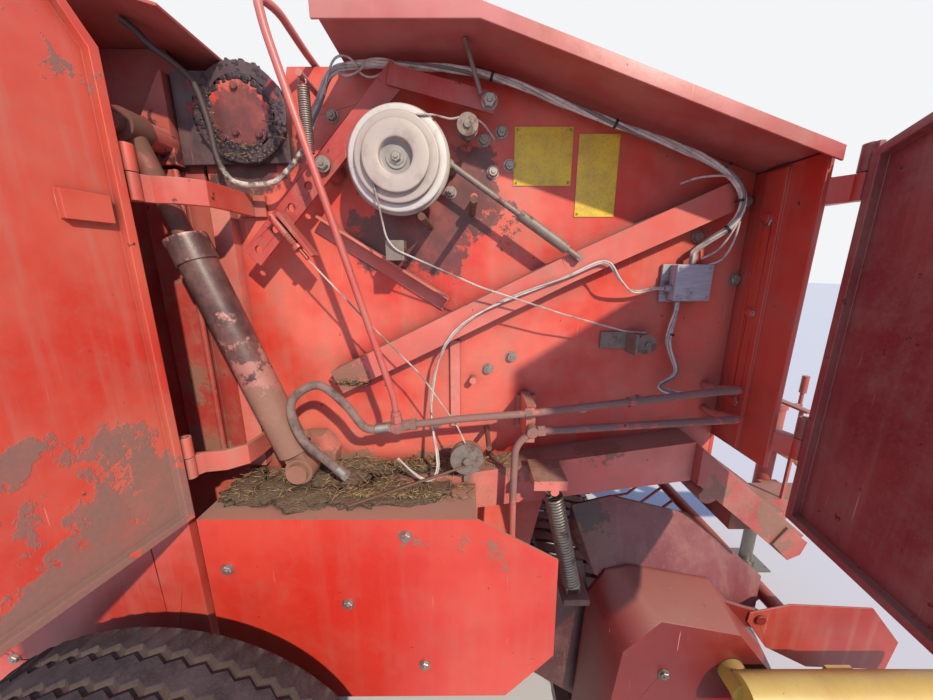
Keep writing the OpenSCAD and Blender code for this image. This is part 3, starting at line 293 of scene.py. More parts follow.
# PVC insulated wire: black, grey and off-white, dulled by dust
wire, t, spot = new_finish("dusty PVC wire")
kind = node(t, "Attribute", attribute_name="shade")
base = node(t, "MixRGB", {0: kind.outputs["Fac"], 1: colour("#2f2a2e"), 2: colour("#ded7cd")})
base = node(t, "MixRGB", {0: blotches(t, spot, 22.222, 0.44, 0.7, 0.7), 1: base,
                          2: colour("#8a7468")})
surface(t, base, 0.55)

wire_routes = [
    ("roof", 7.0, 5, [[270, -640, 1725], [312, -650, 1800], [352, -650, 1858], [480, -650, 1862],
                      [640, -650, 1846], [860, -650, 1772], [1050, -654, 1708],
                      [1132, -666, 1650], [1138, -666, 1590], [1100, -646, 1548],
                      [1082, -632, 1528], [1082, -632, 1515], [1082, -632, 1502.3]]),
    ("below_box", 6.0, 4, [[1060, -632, 1419.7], [1060, -632, 1410], [1060, -632, 1398],
                           [1050, -636, 1330], [1076, -640, 1262], [1040, -642, 1225],
                           [1100, -660, 1212]]),
    ("along_beam", 4.0, 2, [[1027.7, -630, 1450], [1019, -630, 1450], [1008, -630, 1450],
                            [960, -634, 1443], [916, -660, 1470], [880, -664, 1506],
                            [800, -664, 1474], [640, -664, 1410], [548, -662, 1330],
                            [510, -640, 1180], [530, -700, 1060], [500, -705, 1025],
                            [440, -705, 1080]])]
BUNDLE_PITCH = 330
PALENESS = (0.95, 0.7, 0.9, 0.25, 1.0)
for i, (name, half, count, route) in enumerate(wire_routes):
    line = evenly([place(*p) for p in through(route, 4)], 0.006)
    thick = half * (0.40 if count > 2 else 0.5) / 1000
    strands = laid(line, count, half / 1000 - thick, BUNDLE_PITCH / 1000,
                   0.18 if count > 2 else 0.0, i)
    bundle = swept("wires_" + name, strands, thick, 2)
    shade = bundle.data.attributes.new("shade", "FLOAT", "POINT")
    per_strand = len(bundle.data.vertices) // count
    shade.data.foreach_set("value", [PALENESS[min(v // per_strand, count - 1)]
                                     for v in range(len(bundle.data.vertices))])
    finish_with(bundle, wire)
    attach(bundle, "frame")
    if i == 0:
        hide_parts("wiring")

# Lamp cable: one PVC sheath, dirty white, from the bundle under the hub and up to the tailgate
sheath_route = [[10, -706, 1903], [28, -702, 1889], [47, -700, 1868], [70, -680, 1850],
                [87, -662, 1826], [98, -655, 1765], [104, -655, 1707], [120, -655, 1670],
                [143, -655, 1657], [180, -655, 1655], [215, -655, 1662], [245, -648, 1690],
                [268, -640, 1722]]
line = evenly([place(*p) for p in through(sheath_route, 5)], 0.005)
sheath, t, spot = new_finish("dirty white PVC sheath")
soot = blotches(t, spot, 29.412, 0.42, 0.62, detail=7)
along = node(t, "SeparateXYZ", {0: spot})
near_hub = node(t, "MapRange", {0: along.outputs[2], 1: place(0, 0, 1672).z,
                                2: place(0, 0, 1700).z})
back = node(t, "MapRange", {0: along.outputs[0], 1: place(190, 0, 0).x, 2: place(140, 0, 0).x})
near_hub = node(t, "Math", {0: near_hub, 1: back}, operation="MULTIPLY")
soot = node(t, "Math", {0: soot, 1: near_hub}, operation="MAXIMUM")
cover = node(t, "MixRGB", {0: soot, 1: colour("#d8cbb9"), 2: colour("#4a3a38")})
surface(t, cover, 0.6)
cable = finish_with(swept("lamp_cable", [line], 0.0055, 4), sheath)
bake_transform(cable)

# Painted sheet steel of the body, doors, covers and beams.
# One red enamel all over, bleached by the sun, dusty, scratched, and caked with dried mud low down.
# Grease lies round the tying gear and the tailgate's hub.
GRIT = 6.6667


def shade_and_dirt_in_corners(tree, paint, reach, open_share, deep_share, most, tone, soft=False):
    """Mixes a tone where less than a share of the air within reach, in millimetres, is open: painted
    shade when the tone is dark, soil when it is pale.
    """
    corner = node(tree, "AmbientOcclusion", {"Distance": reach / 1000}, samples=3)
    corner = node(tree, "MapRange", {0: corner.outputs["AO"], 1: open_share, 2: deep_share, 4: most},
                  interpolation_type="SMOOTHSTEP" if soft else "LINEAR")
    return node(tree, "MixRGB", {0: corner, 1: paint, 2: colour(tone)})


def enamel(name, fresh, faded, dust=0.3, runs=0.2, wear=0.5, mud=(), grease=(),
           mud_tone="#9a7460", settled=0.55, grease_tone="#3d2a2d"):
    """Weathered enamel. Mud and grease are lists of x, y, z and radius in millimetres.

    Dust lies in clouds, runs are its upright streaks, and settled is how thick it lies on top. Wear is
    how far the paint is chipped and scratched.
    """
    made, t, spot = new_finish(name)
    bleached = blotches(t, spot, 322.58, 0.36, 0.64, detail=4, rough=0.6)
    paint = node(t, "MixRGB", {0: bleached, 1: colour(fresh), 2: colour(faded)})
    # Rain has washed the dust into upright runs
    run = blotches(t, spot, (29.412, 29.412, 454.55), 0.48, 0.74, runs, detail=4,
                   rough=0.55)
    paint = node(t, "MixRGB", {0: run, 1: paint, 2: colour("#b98f7c")})
    # Dust, in clouds and in fine specks. Real grit is finer, and is drawn as coarse as it shows
    cloud = blotches(t, spot, 90.909, 0.42, 0.72, dust)
    grit = node(t, "TexNoise", {"Vector": spot, "Scale": 1000 / GRIT, "Detail": 4,
                                "Roughness": 0.75})
    grit_shade = node(t, "MapRange", {0: grit, 1: 0.5, 2: 0.8, 4: dust * 0.8})
    up = node(t, "SeparateXYZ", {0: node(t, "NewGeometry").outputs["Normal"]})
    up = node(t, "MapRange", {0: up.outputs[2], 1: 0.3, 2: 0.95, 4: settled},
              interpolation_type="SMOOTHSTEP")
    dusted = node(t, "Math", {0: cloud, 1: grit_shade}, operation="ADD")
    dusted = node(t, "Math", {0: dusted, 1: up}, operation="ADD", use_clamp=True)
    paint = node(t, "MixRGB", {0: dusted, 1: paint, 2: colour("#a07d6b")})
    # Painted shade: the paint darkens in corners and crevices, where the air is closed in
    paint = shade_and_dirt_in_corners(t, paint, 50, 0.8, 0.25, 0.75, "#4b2f2a", soft=True)
    # Chips down to rust
    chip = blotches(t, spot, 23.81, 0.72 - 0.06 * wear, 0.75 - 0.06 * wear, detail=7, rough=0.62,
                    soft=False)
    paint = node(t, "MixRGB", {0: chip, 1: paint, 2: colour("#5c3228")})
    # Scratches show paler paint
    scratch = blotches(t, spot, (4.1667, 4.1667, 142.86), 0.75 - 0.03 * wear, 0.78, 0.7,
                       detail=2, rough=0.5, soft=False, turn=(0.2, 0.9, 0.3))
    paint = node(t, "MixRGB", {0: scratch, 1: paint, 2: colour("#e59a88")})
    rough = node(t, "MapRange", {0: dusted, 1: 0.0, 2: 0.8, 3: 0.42, 4: 0.85})
    height = node(t, "Math", {0: grit, 1: 0.25}, operation="MULTIPLY")
    # Mud and grease, with ragged edges
    ragged = node(t, "TexNoise", {"Vector": spot, "Scale": 1000 / 76.923, "Detail": 6,
                                  "Roughness": 0.7})
    ragged = node(t, "VectorMath", {0: ragged.outputs["Color"], 1: (0.5, 0.5, 0.5)},
                  operation="SUBTRACT")
    ragged = node(t, "VectorMath", {0: ragged, "Scale": 0.30}, operation="SCALE")
    ragged = node(t, "VectorMath", {0: ragged, 1: spot}, operation="ADD")
    for places, tone, roughness in ((mud, mud_tone, 0.95), (grease, grease_tone, 0.42)):
        cover = None
        for x, y, z, r in places:
            off = node(t, "VectorMath", {0: ragged, 1: place(x, y, z)}, operation="DISTANCE")
            one = node(t, "MapRange", {0: off.outputs["Value"], 1: r / 1000, 2: r / 1300, 4: 0.92},
                       interpolation_type="SMOOTHSTEP")
            cover = one if cover is None else node(t, "Math", {0: cover, 1: one},
                                                   operation="MAXIMUM")
        if cover is None:
            continue
        broken = node(t, "MapRange", {0: cloud, 1: 0.0, 2: dust, 3: 1.0, 4: 0.62})
        cover = node(t, "Math", {0: cover, 1: broken}, operation="MULTIPLY")
        clod = node(t, "MixRGB", {0: grit, 1: colour(tone), 2: [0.65 * c for c in colour(tone)]})
        paint = node(t, "MixRGB", {0: cover, 1: paint, 2: clod})
        rough = node(t, "MapRange", {0: cover, 1: 0.0, 2: 1.0, 3: rough, 4: roughness})
        height = node(t, "Math", {0: cover, 1: height}, operation="ADD")
    surface(t, paint, rough, (0.35, 2, height), Coat_Weight=0.3, Coat_Roughness=0.32)
    return made


def softened(name, material, width=1.2):
    """A node of the frame with its material and with its sheet edges rounded a little."""
    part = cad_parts[name]
    part.data.materials.clear()
    part.data.materials.append(material)
    if width:
        weld = part.modifiers.new("join", "WELD")
        weld.merge_threshold = 0.00002
        edge = part.modifiers.new("edge", "BEVEL")
        edge.width, edge.segments, edge.limit_method = width / 1000, 2, "ANGLE"
        edge.angle_limit = math.radians(35)
        edge.use_clamp_overlap = False
        part.modifiers.new("shade", "WEIGHTED_NORMAL")
    return part


# Bright red that the sun has turned to rose, with dark grease flung round the pulley
wall_red = enamel(
    "red enamel of the wall", "#d9311f", "#ec7460", dust=0.36, runs=0.2,
    mud=[(230, -620, 1010, 95), (330, -620, 1010, 60), (150, -620, 1030, 60),
         (520, -620, 1040, 40), (120, -620, 1690, 60)],
    grease=[(500, -612, 1590, 120), (600, -612, 1660, 80), (430, -612, 1560, 90),
            (560, -612, 1520, 60), (640, -612, 1600, 50), (150, -612, 1740, 110)],
    grease_tone="#5a3d3f")
softened("side_wall_right", wall_red)

# Plain weathered red, a little darker than the wall
outer_red = enamel("red enamel of the far side", "#c72f20", "#d85140", dust=0.25)
for name in ("side_wall_left", "wall_beams_left", "front_panel", "twine_box", "feed_floor",
             "axle", "door_rear_left", "door_front_left", "tailgate_covers"):
    softened(name, outer_red)

# Pinker and paler than the wall, as dust lies thick on the beams
beam_red = enamel(
    "red enamel of the beams", "#dc5f52", "#e58c7e", dust=0.5, runs=0.1, settled=0.95,
    mud=[(320, -650, 1262, 60), (560, -650, 1010, 60), (700, -650, 1060, 50),
         (900, -650, 1080, 60), (760, -700, 1062, 60), (230, -640, 1000, 90),
         (228, -740, 1060, 60)])
softened("wall_beams_right", beam_red, 0)

# The most bleached of all, a chalky brick pink
roof_red = enamel("bleached red enamel of the roof", "#b5453f", "#cf7d78", dust=0.3)
softened("roof", roof_red)

# The cleanest and strongest red, as rain reaches it
cover_red = enamel("red enamel of the lower covers", "#d32e1e", "#dc4634", dust=0.16,
                   runs=0.08, settled=0.9, mud=[(638, -801, 934, 32), (655, -801, 915, 18),
                                                (478, -801, 942, 22)])
softened("lower_covers", cover_red, 0)

# Red with upright runs, and grey-brown mud from the tyre over the lower corner
rear_door_red = enamel(
    "red enamel of the open rear door", "#d23826", "#dd6650", dust=0.26, runs=0.35,
    mud=[(35, -846, 1150, 55), (35, -846, 1075, 70), (24, -900, 1205, 42), (20, -925, 1120, 55),
         (15, -940, 1050, 60), (5, -990, 1035, 62), (-4, -1034, 1030, 60), (6, -990, 1240, 46),
         (-6, -1040, 1235, 60), (28, -885, 1015, 66), (35, -850, 990, 66),
         (33, -854, 1762, 20), (0, -1020, 1170, 30)], mud_tone="#93766a")
softened("door_rear_right", rear_door_red)

# Dull wine red with many scratches. The dark wine tone is painted shade, as the open door turns its
# inner face from the sun
front_door_red_with_painted_shade = enamel("dull red enamel of the open front door", "#8f3234", "#a34a48",
                        dust=0.45, runs=0.2, wear=1.2)
softened("door_front_right", front_door_red_with_painted_shade)

# Darker red, rubbed and chipped where the gear works
gear_red = enamel("red enamel of the tying lever", "#b5302a", "#c8524a", dust=0.4, wear=1.4)
softened("tying_lever", gear_red, 0.8)

# Orange red under dust, chipped along the edges
softened("door_straps", enamel("red enamel of the straps", "#c03a2c", "#cf6656", dust=0.4,
                               wear=1.3), 1.0)

# Brown-red under the dirt of the road
bar_red = enamel("muddy red enamel of the drawbar", "#a83a33", "#bd5f55", dust=0.6,
                 mud=[(1330, -660, 900, 90), (1180, -660, 1010, 60)])
for name in ("drawbar_arms", "drawbar_tongue", "gearbox"):
    softened(name, bar_red, 1.5)
softened("jack_tube", bar_red, 0)

# The same brown-red behind the doors, with mud in patches
gate_red = enamel(
    "muddy red enamel of the tailgate", "#b23a33", "#c25f54", dust=0.45,
    mud=[(-60, -640, 1240, 46), (-70, -640, 1450, 36), (-50, -640, 1040, 76)],
    grease=[(-40, -640, 1740, 60)])
for name in ("tailgate_sides", "tailgate_skin"):
    softened(name, gate_red)

# Deep red with hardly any dust: painted shade, darker than the other reds as if the pickup lay in
# shadow
pickup_red_with_painted_shade = enamel("red enamel of the pickup, darkened as painted shade", "#74110b", "#861c14", dust=0.05, settled=0.3,
                    runs=0.0, mud=[(1000, -700, 300, 120)])
softened("pickup_covers", pickup_red_with_painted_shade, 1.0)

# A brighter red than the pickup, with dust on its top
softened("crop_guard", enamel("red enamel of the crop guard", "#a5261a", "#b8402f", dust=0.2,
                              settled=0.4), 1.0)

# Almost black red: mostly painted shade for the parts deep under the pickup's covers, with some grime
inner_red_with_painted_shade = enamel("grimy red enamel under the pickup's covers", "#481310", "#5c221d",
                   dust=0.3)
for name in ("pickup_ends", "pickup_tubes", "pickup_bands"):
    softened(name, inner_red_with_painted_shade, 1.0)

# Plum brown, where grease has soaked into the dust
hood_red = enamel("greasy red enamel of the hoods", "#6c2a30", "#854346", dust=0.32,
                  settled=0.4, mud=[(930, -640, 820, 70)], grease=[(900, -630, 880, 60)])
softened("pickup_hoods", hood_red, 1.0)

# Near-black and faintly glossy, with a little red showing through
hub_red = enamel("black grease over the hub's red enamel", "#38292e", "#57434a", dust=0.22,
                 runs=0.1, mud=[(222, -635, 1822, 30), (40, -622, 1835, 26)],
                 mud_tone="#b8474a")
softened("hinge_plates", hub_red, 1.0)

# Rams: painted barrels, chromed rods that have dulled.
# Old grease and dust lie thick on the right-hand barrel's upper part.

# Dusty pink, with mud at the foot and dark grease above
ram_red = enamel("greasy enamel of the rams", "#a05a56", "#b98074", dust=0.6,
                 mud=[(180, -706, 1150, 120), (200, -706, 1100, 80), (228, -735, 1060, 60)],
                 grease=[(90, -706, 1450, 110), (120, -706, 1330, 70)])
for name in ("ram_barrel_right", "ram_barrel_left"):
    softened(name, ram_red, 0.8)


def bare_metal(name, pale, dark, metallic=0.85, roughness=0.42, grain=14.286, rust=0.25):
    """Bare or plated steel, dulled, with some rust in spots."""
    made, t, spot = new_finish(name)
    tone = node(t, "TexNoise", {"Vector": spot, "Scale": 1000 / grain, "Detail": 6,
                                "Roughness": 0.65})
    metal = node(t, "MixRGB", {0: tone, 1: colour(dark), 2: colour(pale)})
    patch = blotches(t, spot, 38.462, 0.66 - 0.3 * rust, 0.76 - 0.3 * rust, 0.85, detail=8)
    metal = node(t, "MixRGB", {0: patch, 1: metal, 2: colour("#6f5142")})
    shine = node(t, "MapRange", {0: patch, 3: metallic, 4: 0.1})
    dull = node(t, "MapRange", {0: patch, 3: roughness, 4: 0.9})
    surface(t, metal, dull, (0.2, 1, tone), Metallic=shine)
    return made


# Red-brown, as little of the chrome shows through the dirt
dirty_rod = bare_metal("chromed rod under dirt", "#9c5a4f", "#6a3b34", metallic=0.1,
                       roughness=0.6, rust=0.7)
for name in ("ram_rod_right", "ram_rod_left"):
    softened(name, dirty_rod, 0)

# Steel without paint: press rollers, the jack's leg, the shaft's joints, cord guides and tined reel.
# Bare where the work scours it, plated on the guides, and rusted on the reel.

# Mid grey with a soft shine, and brown rust in spots
worn_steel = bare_metal("worn bare steel", "#a09a94", "#6a625d")
for name in ("press_rollers_front", "press_rollers_rear", "jack_leg", "pto_joints"):
    softened(name, worn_steel, 0)

# Light grey gone dull, with brown patches
softened("cord_guides", bare_metal("dirty zinc plating", "#a5998f", "#6d6058", metallic=0.4,
                                   roughness=0.6, rust=0.4), 0.6)

# Brown and nearly matt all over
rusty_steel = bare_metal("rusty rolled steel", "#8a6f60", "#5f493f", metallic=0.4, roughness=0.7,
                         rust=0.6)
softened("pickup_reel", rusty_steel, 0)

# Yellow parts: gauge arms, rims and the drive shaft's guard.
# The arms and rims are enamelled, the guard is moulded plastic, and all are dusty.

# Half-matt mustard with chipped edges
arm_yellow = enamel("mustard enamel of the gauge arms", "#d2ae34", "#dcc05c", dust=0.2,
                    settled=0.3, wear=0.8)
for name in ("gauge_arms", "rim_right", "rim_left"):
    softened(name, arm_yellow, 0.8)

# Softer and more orange than the enamel, with hardly a chip
softened("pto_guard", enamel("dusty yellow plastic", "#cf9f2a", "#d8b45a", dust=0.3,
                             wear=0.1), 0.8)

# Tail lamps: housings and lenses moulded as one in red acrylic, screwed to the tailgate.
# The road dirt has been wiped off them.

# Glossy dark red, broken up by the small prisms moulded inside
lens, t, spot = new_finish("red acrylic lens")
PRISM = 7.1429
prism = node(t, "TexVoronoi", {"Vector": spot, "Scale": 1000 / PRISM})
tone = node(t, "MixRGB", {0: prism.outputs["Distance"], 1: colour("#a11712"),
                          2: colour("#6b0d0b")})
surface(t, tone, 0.2, (0.3, 1, prism.outputs["Distance"]))
softened("tail_lamps", lens, 1.0)


# Step pulley of the tying gear: cast aluminium, turned, with four rims and three grooves.
# It is greyed with dust, paler where the cord rubs it, and held by a nut and washer in its bore.
def turned(profile, centre, steps=96, closed=True):
    """Turns a profile of radius and distance from the middle about an axis across the machine."""
    shape = bmesh.new()
    ring = [shape.verts.new(place(centre[0] + r, y, centre[1])) for r, y in profile]
    pairs = zip(ring, ring[1:] + ring[:1]) if closed else zip(ring, ring[1:])
    lines = [shape.edges.new(pair) for pair in pairs]
    bmesh.ops.spin(shape, geom=ring + lines, cent=place(centre[0], 0, centre[1]), axis=(0, 1, 0),
                   angle=2 * math.pi, steps=steps, use_merge=True)
    bmesh.ops.remove_doubles(shape, verts=shape.verts, dist=0.000002)
    return shape


def creased(piece, material, angle=35):
    """Gives a piece its material, shaded smooth save over its sharp edges."""
    finish_with(piece, material)
    piece.data.set_sharp_from_angle(angle=math.radians(angle))
    return piece


# The pulley's middle along X and Z, and how far each ring of the casting reaches, with the grey past it
PULLEY = (468, 1687)
RIM_EDGES = ((28.5, "#c6bab0"), (61.5, "#c3b8ae"), (78, "#dedad4"), (91.5, "#b3a698"))
EDGE_BLUR = 1.2

# Turned rings catch the light, and each rim has its own grey
cast, t, spot = new_finish("dusty cast aluminium")
from_axis = node(t, "VectorMath", {0: spot, 1: place(PULLEY[0], 0, PULLEY[1])},
                 operation="SUBTRACT")
from_axis = node(t, "VectorMath", {0: from_axis, 1: (1, 0, 1)}, operation="MULTIPLY")
from_axis = node(t, "VectorMath", {0: from_axis}, operation="LENGTH").outputs["Value"]
tone = colour("#a3a09d")
for edge, next_tone in RIM_EDGES:
    step = node(t, "MapRange", {0: from_axis, 1: (edge - EDGE_BLUR) / 1000,
                                2: (edge + EDGE_BLUR) / 1000})
    tone = node(t, "MixRGB", {0: step, 1: tone, 2: colour(next_tone)})
# Real turning marks are finer, and these are drawn as coarse as they show
TURNING_MARK = 1.1111
turning = node(t, "TexNoise", {"W": from_axis, "Scale": 1000 / TURNING_MARK, "Detail": 3},
               noise_dimensions="1D")
tone = node(t, "MixRGB", {0: node(t, "MapRange", {0: turning, 1: 0.35, 2: 0.7, 4: 0.35}), 1: tone,
                          2: colour("#94867c")})
smudge = blotches(t, spot, 41.667, 0.48, 0.78, 0.55, detail=8, rough=0.65)
tone = node(t, "MixRGB", {0: smudge, 1: tone, 2: colour("#8e7a6d")})
# Painted shade: darker in the grooves between the rims
tone = shade_and_dirt_in_corners(t, tone, 12, 0.75, 0.2, 0.8, "#5f5149")
surface(t, tone, 0.6, (0.25, 0.6, turning), Metallic=0.25)

rims = [(11, -690), (92, -690), (95, -691), (96, -693), (96, -695.5), (94.5, -697.6),
        (92, -698), (89, -698.3), (87, -699.2), (86, -700.5), (86, -702), (88, -703),
        (90, -703.6), (91, -705), (91, -706.5), (90, -707.6), (87.5, -708), (76, -708),
        (70, -708.6), (68, -710), (68, -712), (72, -713), (75.5, -713.6), (77, -715),
        (77, -716.6), (76, -717.7), (73.5, -718), (62, -718), (55.5, -719), (54, -720.5),
        (54, -722), (57, -723), (59.8, -723.7), (61, -725), (61, -727), (60, -728.6),
        (58, -729), (33, -729), (31, -728.4), (30, -727), (30, -718), (28.5, -716.4),
        (26, -716), (11, -716)]
pulley = creased(mesh_piece("step_pulley_rims", turned(rims, PULLEY)), cast, 50)
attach(pulley, "frame")
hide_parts("step_pulley")

# Pale grey and rather matt, with hardly any rust
zinc = bare_metal("dusty zinc plating", "#b9b4ae", "#857c76", roughness=0.5, rust=0.12)
shaft = turned([(0, -608.3), (10, -608.3), (10, -616), (24, -616), (24, -680), (11, -680),
                (11, -716.2), (19, -716.2), (19, -718.5), (11, -718.5), (0, -718.5)], PULLEY, 32,
               closed=False)
shaft_piece = creased(mesh_piece("step_pulley_shaft", shaft), zinc)
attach(shaft_piece, "frame")


# Bolts: plated hexagon heads on washers, some with the thread's end showing.
# They hold the tying gear, the covers and the front panel.
WASHER = 1.8
CHAMFER = 1.6
WALL_FACE = -608
COVER_FACE = 801
PANEL_FACE = 1205
DRIVE_COVER_FACE = 778


def lathe_bar(shape, wide, narrow, start, end, segments, turn):
    """A round or six-sided bar from start to end along its own axis."""
    middle = turn @ Matrix.Translation((0, 0, (start + end) / 2000))
    bmesh.ops.create_cone(shape, cap_ends=True, segments=segments, radius1=wide / 1000,
                          radius2=narrow / 1000, depth=(end - start) / 1000, matrix=middle)


def facing(at, towards):
    """The turn and the move that stand a Z axis at a place, towards a direction."""
    turn = Vector(towards).to_track_quat("Z", "Y").to_matrix()
    return Matrix.Translation(place(*at)) @ turn.to_4x4()


def bolt(shape, x, y, z, out=(0, -1, 0), radius=10.6, head=9.4, washer=13, spun=0.0):
    """A hexagon head that stands out from a surface."""
    turn = facing((x, y, z), out) @ Matrix.Rotation(spun, 4, "Z")
    lathe_bar(shape, washer, washer, 0, WASHER, 24, turn)
    lathe_bar(shape, radius, radius, WASHER, head - CHAMFER, 6, turn)
    lathe_bar(shape, radius, 0.84 * radius, head - CHAMFER, head, 6, turn)
    lathe_bar(shape, 0.45 * radius, 0.38 * radius, head, head + 2.2, 12, turn)


rng = random.Random(5)
wall_bolts = [(378, 1770), (355, 1700), (508, 1740), (650, 1690), (630, 1750), (560, 1650),
              (548, 1350), (520, 1120), (645, 1260), (700, 1290), (1100, 1560), (880, 1160),
              (1010, 1180), (321, 1794), (666, 1765), (684, 1702), (1192, 1631), (1196, 1468)]
cover_bolts = [(95, 880), (470, 960), (340, 790), (500, 620)]
gate_bolts = [(-60, 640), (-420, 640), (-60, 960)]
shape = bmesh.new()
for x, z in wall_bolts:
    bolt(shape, x, WALL_FACE, z, spun=rng.uniform(0, 1))
for side in (-1, 1):
    for x, z in cover_bolts:
        bolt(shape, x, side * COVER_FACE, z, (0, side, 0), head=6.8, spun=rng.uniform(0, 1))
    for z in (1200, 1400, 1585):
        bolt(shape, PANEL_FACE, side * 668, z, (-1, 0, 0), spun=rng.uniform(0, 1))
bolt(shape, PULLEY[0], -718.5, PULLEY[1], radius=9.5, head=7.5, washer=13)
bolt(shape, 636, -679, 1791, radius=13, head=11.6, washer=15, spun=0.4)
bolt(shape, 320, -680, 1686, radius=12, head=9, washer=15, spun=0.2)
bolts = creased(mesh_piece("plated_bolts", shape), zinc)
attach(bolts, "frame")
shape = bmesh.new()
for side in (-1, 1):
    for x, z in gate_bolts:
        bolt(shape, x, side * COVER_FACE, z, (0, side, 0), head=6.8, spun=rng.uniform(0, 1))
gate_heads = creased(mesh_piece("tailgate_bolts", shape), zinc)
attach(gate_heads, "tailgate")
shape = bmesh.new()
for side in (-1, 1):
    bolt(shape, 1060, side * DRIVE_COVER_FACE, 560, (0, side, 0), spun=0.3)
cover_heads = creased(mesh_piece("drive_cover_bolts", shape), worn_steel)
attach(cover_heads, "pickup")


# Coil springs: wound from round wire, with a hook at each end.
# The lever's spring is plated, the pickup's two springs are bare and rusted at their feet.
def hook_past(end, outwards, side, size):
    """The open loop of wire past a spring's end, from its neck to its tip."""
    loop = []
    for k in range(9):
        s = math.pi * 1.45 * k / 8 - 0.7
        loop.append(end + outwards * (size * 0.55 + size * 0.45 * math.sin(s)) / 1000
                    + side * (0.45 * size * math.cos(s)) / 1000)
    return loop


def coil(foot, head, radius, turns, hook, per_turn=20):
    """The line of a spring's wire between two points, with hooks that reach past its ends."""
    a, b = place(*foot), place(*head)
    along = (b - a).normalized()
    side = along.cross(Vector((0, 1, 0))).normalized()
    other = along.cross(side)
    line = hook_past(a, -along, side, hook)[::-1]
    count = turns * per_turn
    for k in range(count + 1):
        angle = 2 * math.pi * k / per_turn
        eased = min(1.0, k / 8, (count - k) / 8)
        line.append(a.lerp(b, k / count)
                    + (side * math.cos(angle) + other * math.sin(angle)) * (radius * eased / 1000))
    return line + hook_past(b, along, side, hook)


lever_coil = coil((299, -686, 1702), (299, -686, 1812), 9.4, 30, hook=14)
lever_spring = finish_with(swept("lever_spring_wire", [lever_coil], 0.00145, 2), zinc)
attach(lever_spring, "frame")
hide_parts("lever_spring")

# Grey wire that still shines along its turns, browned where rust has started
spring_steel = bare_metal("rust-stained spring wire", "#aaa39b", "#6b625b", rust=0.35)
long_coils = [coil((836, side * 748, 783), (781, side * 748, 1017), 17.5, 34, hook=34)
              for side in (-1, 1)]
long_springs = finish_with(swept("pickup_spring_wires", long_coils, 0.0031, 2), spring_steel)
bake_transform(long_springs)
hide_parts("pickup_springs")

# Hydraulic pipes: drawn steel tube, painted over in the machine's red, with unions and clamps.
# The hose to the ram is rubber over wire braid, with crimped ferrules at both ends.

# Dull rose where the paint shows, grey-brown where mud has dried along the pipes
pipe_red = enamel("dusty red enamel of the pipes", "#c4534e", "#d8746a", dust=0.5,
                  wear=0.8, mud=[(500, -716, 1172, 64), (590, -716, 1180, 64),
                                 (690, -716, 1178, 64), (790, -716, 1190, 66),
                                 (890, -720, 1195, 70), (1000, -722, 1205, 74),
                                 (1110, -724, 1220, 74), (700, -718, 1090, 60),
                                 (700, -720, 1000, 56)], mud_tone="#8d776c")
pipe_routes = [
    (8, 22, [[441, -716, 1162], [580, -716, 1180], [726, -712, 1190], [1118, -725, 1245],
             [1165, -725, 1247], [1165, -642, 1222], [1165, -608.3, 1222]]),
    (8, 22, [[735, -716, 1150], [1100, -728, 1180], [1172, -728, 1184],
             [1172, -642, 1162], [1172, -608.3, 1162]]),
    (8, 24, [[738, -716, 1152], [700, -718, 1120], [698, -720, 1000], [697, -730, 830]]),
    (7, 16, [[447, -722, 1166], [443, -724, 1230], [274, -752, 1862], [266, -752, 1908],
             [280, -712, 1910], [290, -640, 1889.3], [290, 650, 1889.3], [290, 738, 1820],
             [300, 738, 1240], [300, 738, 1110]])]
pipes = [swept("pipe", [[place(*p) for p in bent(route, bend, 8)]], radius / 1000, 4)
         for radius, bend, route in pipe_routes]


def fitting(shape, start, end, pieces):
    """Nuts and collars along a pipe, each a radius, its two distances from start, and its sides."""
    turn = facing(start, Vector(end) - Vector(start))
    for radius, near, far, sides in pieces:
        lathe_bar(shape, radius, radius, near, far, sides, turn)


shape = bmesh.new()
fitting(shape, (447, -703, 1164), (447, -730, 1164), [(13, 0, 27, 24), (10, -3, 0, 6)])
fitting(shape, (735, -704, 1152), (735, -727, 1152), [(12, 0, 23, 24)])
fitting(shape, (441, -716, 1162), (580, -716, 1180), [(13, 12, 24, 6), (11.5, 24, 34, 24),
                                                      (13.5, 34, 46, 6)])
fitting(shape, (447, -722, 1166), (443, -724, 1230), [(12.5, 10, 26, 6), (10, 26, 34, 24)])
fitting(shape, (726, -712, 1190), (1118, -725, 1245), [(12, -6, 14, 4), (12, 210, 226, 6)])
fitting(shape, (735, -716, 1150), (1100, -728, 1180), [(12, 12, 28, 6)])
for body in pipes:
    shape.from_mesh(body.data)
    bpy.data.objects.remove(body)
pipework = creased(mesh_piece("pipework", shape), pipe_red, 40)
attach(pipework, "frame")
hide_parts("hydraulic_pipes")

# Matt black under dust, with the fine print of the cloth it was wrapped in
hose_rubber, t, spot = new_finish("dusty hose rubber")
CLOTH_PRINT = 1.4286
fine = node(t, "TexNoise", {"Vector": spot, "Scale": 1000 / CLOTH_PRINT, "Detail": 2})
hide = node(t, "MixRGB", {0: blotches(t, spot, 33.333, 0.3, 0.62, detail=8),
                          1: colour("#4c4342"), 2: colour("#8d776c")})
hide = node(t, "MixRGB", {0: node(t, "MapRange", {0: fine, 4: 0.35}), 1: hide,
                          2: colour("#6a5a53")})
surface(t, hide, 0.85, (0.3, 0.6, fine))
hose_route = [[433.6, -716, 1162], [380, -720, 1160], [340, -722, 1215], [285, -722, 1258],
              [232, -732, 1222], [250, -742, 1150], [300, -742, 1095], [330, -735, 1060]]
hose_line = evenly([place(*p) for p in through(hose_route, 6)], 0.006)
hose = finish_with(swept("ram_hose", [hose_line], 0.009, 5), hose_rubber)
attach(hose, "frame")
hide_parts("hydraulic_hose")
shape = bmesh.new()
